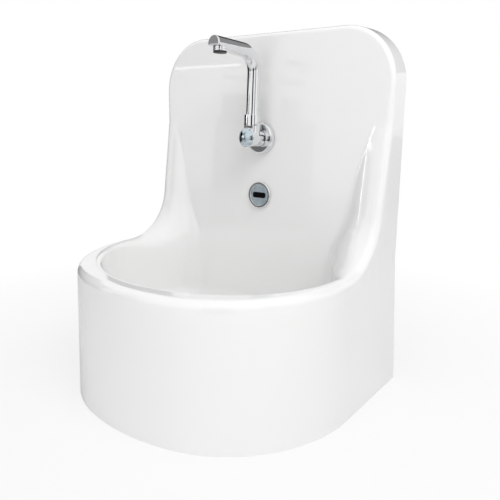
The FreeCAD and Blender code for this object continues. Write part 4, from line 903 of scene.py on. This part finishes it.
# The camera: place, forward direction, roll, and the lens on a square sensor in millimetres.
CAMERA_PLACE, CAMERA_AHEAD = (0.70388, -1.04686, 0.10717), (-0.5819, 0.7757, -0.2444)
CAMERA_ROLL = math.radians(-0.11)
CAMERA_SENSOR, CAMERA_LENS = 36.0, 39.90

# The ground under the sink: middle, drop and rings in millimetres; its least white, and how many
# metres from its middle it begins to whiten and is all white.
GROUND_Y, GROUND_DROP = -250.0, 0.4
GROUND_RINGS = np.array([500.0, 1000.0, 2000.0, 5000.0, 12000.0])
GROUND_SHADE, GROUND_NEAR, GROUND_FAR = 0.75, 0.45, 1.1

# Lamps: name, place, width and power.
LAMP_TARGET = (0.0, -0.2, -0.1)
LAMPS = (
    ("front_lamp", (0.2, -2.6, 0.0), 1.4, 9.0),
    ("right_lamp", (1.5, -0.7, 1.9), 1.4, 31.5),
    ("top_lamp", (0.2, -0.7, 2.2), 1.6, 3.0),
    ("fill_lamp", (0.9, -2.6, 1.1), 1.6, 2.0),
)

# Cards: name, middle, run of the width, height and light; for some the place aimed at and its spot.
SPOT_FADE = 1.5
CARDS = (
    ("card_left", (-1.6, -0.55, 0.1), (0.0, 1.4, 0.0), 1.4, 0.008),
    ("card_back", (-0.75, 0.6, 0.7), (1.3, 0.0, 0.0), 1.0, 0.04),
    ("card_behind", (0.5, 0.6, 0.75), (1.2, 0.0, 0.0), 0.9, 0.30),
    ("card_front", (0.69, -1.54, 0.0), (0.50, 0.23, 0.0), 1.2, 0.004),
    ("card_near", (-1.05, -1.55, -0.1), (0.45, -0.3, 0.0), 0.7, 0.16),
    ("card_flange", (-1.18, -1.68, 0.36), (0.38, -0.25, 0.0), 0.28, 0.13),
    ("card_tip", (-1.51, -1.55, 1.02), (-0.78, 0.30, 0.0), 0.95, 0.30),
    ("card_right", (1.83, -0.91, 0.0), (0.17, 0.38, 0.0), 1.4, 0.25),
    ("card_strip", (-1.52, -1.25, 0.37), (0.035, -0.05, 0.0), 0.54, 9.0,
     (0.24, -0.064, -0.03), 0.13),
    ("card_crease", (-0.888, -1.259, 0.360), (-0.576, 0.546, 0.0), 0.060, 7.0,
     (0.252, -0.061, 0.072), 0.028),
    ("card_line", (-1.365, -1.4, 0.512), (0.47, 0.0, 0.0), 0.012, 4.0,
     (-0.16, -0.053, 0.203), 0.115),
)
WORLD_LIGHT = 0.545


def camera():
    """The photo's camera: its axes are the forward direction and two others turned by the roll."""
    lens = bpy.data.cameras.new("camera")
    lens.sensor_width, lens.lens = CAMERA_SENSOR, CAMERA_LENS
    made = placed("camera", lens)
    ahead = Vector(CAMERA_AHEAD).normalized()
    right = ahead.cross(Vector((0, 0, 1))).normalized()
    above = right.cross(ahead)
    turned_right = right * math.cos(CAMERA_ROLL) + above * math.sin(CAMERA_ROLL)
    turned_above = above * math.cos(CAMERA_ROLL) - right * math.sin(CAMERA_ROLL)
    pose = Matrix((turned_right, turned_above, -ahead)).transposed().to_4x4()
    pose.translation = Vector(CAMERA_PLACE)
    made.matrix_world = pose
    bpy.context.scene.camera = made


def lamp(name, place, size, power):
    """A square soft lamp that faces the sink and that no reflection shows."""
    light = bpy.data.lights.new(name, "AREA")
    light.size, light.energy = size, power
    made = placed(name, light)
    made.location = place
    facing = Vector(LAMP_TARGET) - Vector(place)
    made.rotation_euler = facing.to_track_quat("-Z", "Y").to_euler()
    made.visible_glossy = False


def pale_floor():
    """A level disc under the sink: rings of points from the middle outwards.

    It shows white to the camera, least so near the sink, where it keeps some shade.
    """
    angle = np.linspace(0, TURN, RING_POINTS, endpoint=False)[:, None]
    grid = np.stack([GROUND_RINGS * np.cos(angle), GROUND_RINGS * np.sin(angle) + GROUND_Y,
                     0 * GROUND_RINGS - GROUND_DROP + 0 * angle], -1)
    made = piece("pale_floor", grid, start=(0.0, GROUND_Y, -GROUND_DROP))
    material = bpy.data.materials.new("floor_white")
    material.use_nodes = True
    tree = material.node_tree
    shader = tree.nodes["Principled BSDF"]
    shader.inputs["Roughness"].default_value = 0.9
    shader.inputs["Base Color"].default_value = (0.85, 0.85, 0.85, 1.0)
    glow = add(tree, "ShaderNodeEmission", {"Strength": 1.0})
    path = add(tree, "ShaderNodeLightPath")
    place = add(tree, "ShaderNodeTexCoord")
    foot = (0.0, GROUND_Y * METRE, -LOWERED * METRE)
    middle = add(tree, "ShaderNodeVectorMath", {0: place.outputs["Object"], 1: foot},
                 operation="DISTANCE")
    fade = add(tree, "ShaderNodeMapRange", {
        "Value": middle.outputs["Value"], "From Min": GROUND_NEAR, "From Max": GROUND_FAR,
        "To Min": GROUND_SHADE, "To Max": 1.0})
    seen = add(tree, "ShaderNodeMath", {0: path.outputs["Is Camera Ray"], 1: fade.outputs[0]},
               operation="MULTIPLY")
    mix = add(tree, "ShaderNodeMixShader", {
        0: seen.outputs[0], 1: shader.outputs[0], 2: glow.outputs[0]})
    tree.links.new(mix.outputs[0], tree.nodes["Material Output"].inputs["Surface"])
    made.data.materials.append(material)


def card(name, middle, wide, tall, shade, aim=None, spot=0.0):
    """An upright board of one even light that only reflections see: four corners about its middle.

    With an aim, it shows in a spot about that place, and from elsewhere it is as white as what is
    behind it.
    """
    u, v = np.array([-0.5, 0.5, 0.5, -0.5]), np.array([-0.5, -0.5, 0.5, 0.5])
    corners = np.array(middle) + u[:, None] * np.array(wide)
    corners += v[:, None] * np.array([0.0, 0.0, tall])
    mesh = bpy.data.meshes.new(name)
    mesh.from_pydata(corners, [], [(0, 1, 2, 3)])
    made = placed(name, mesh)
    made.visible_camera = made.visible_diffuse = False
    made.visible_shadow = made.visible_transmission = False
    material = bpy.data.materials.new(name)
    material.use_nodes = True
    tree = material.node_tree
    tree.nodes.remove(tree.nodes["Principled BSDF"])
    even = add(tree, "ShaderNodeEmission", {"Strength": shade})
    tree.links.new(even.outputs[0], tree.nodes["Material Output"].inputs["Surface"])
    mesh.materials.append(material)
    if aim:
        place = add(tree, "ShaderNodeNewGeometry")
        toward = add(tree, "ShaderNodeVectorMath", {0: aim, 1: place.outputs["Position"]},
                     operation="SUBTRACT")
        away = off_line(tree, toward, place.outputs["Incoming"])
        beam = add(tree, "ShaderNodeMapRange", {
            "Value": away.outputs["Value"], "From Min": spot, "From Max": SPOT_FADE * spot,
            "To Min": shade, "To Max": 1.0})
        tree.links.new(beam.outputs["Result"], even.inputs["Strength"])


def studio():
    """Lamps, cards and an even pale world; camera and reflections see plain white behind."""
    for row in LAMPS:
        lamp(*row)
    for row in CARDS:
        card(*row)
    world = bpy.data.worlds.new("studio")
    bpy.context.scene.world = world
    world.use_nodes = True
    tree = world.node_tree
    even = tree.nodes["Background"]
    even.inputs["Color"].default_value = (1.0, 1.0, 1.0, 1.0)
    even.inputs["Strength"].default_value = WORLD_LIGHT
    white = add(tree, "ShaderNodeBackground", {"Color": (1.0, 1.0, 1.0, 1.0), "Strength": 1.0})
    path = add(tree, "ShaderNodeLightPath")
    direct = add(tree, "ShaderNodeMath", {
        0: path.outputs["Is Camera Ray"], 1: path.outputs["Is Glossy Ray"]})
    seen = add(tree, "ShaderNodeMath", {
        0: direct.outputs[0], 1: path.outputs["Is Transmission Ray"]}, use_clamp=True)
    mix = add(tree, "ShaderNodeMixShader", {
        0: seen.outputs[0], 1: even.outputs[0], 2: white.outputs[0]})
    tree.links.new(mix.outputs[0], tree.nodes["World Output"].inputs["Surface"])
    bpy.context.scene.view_settings.view_transform = "Standard"


camera()
pale_floor()
studio()
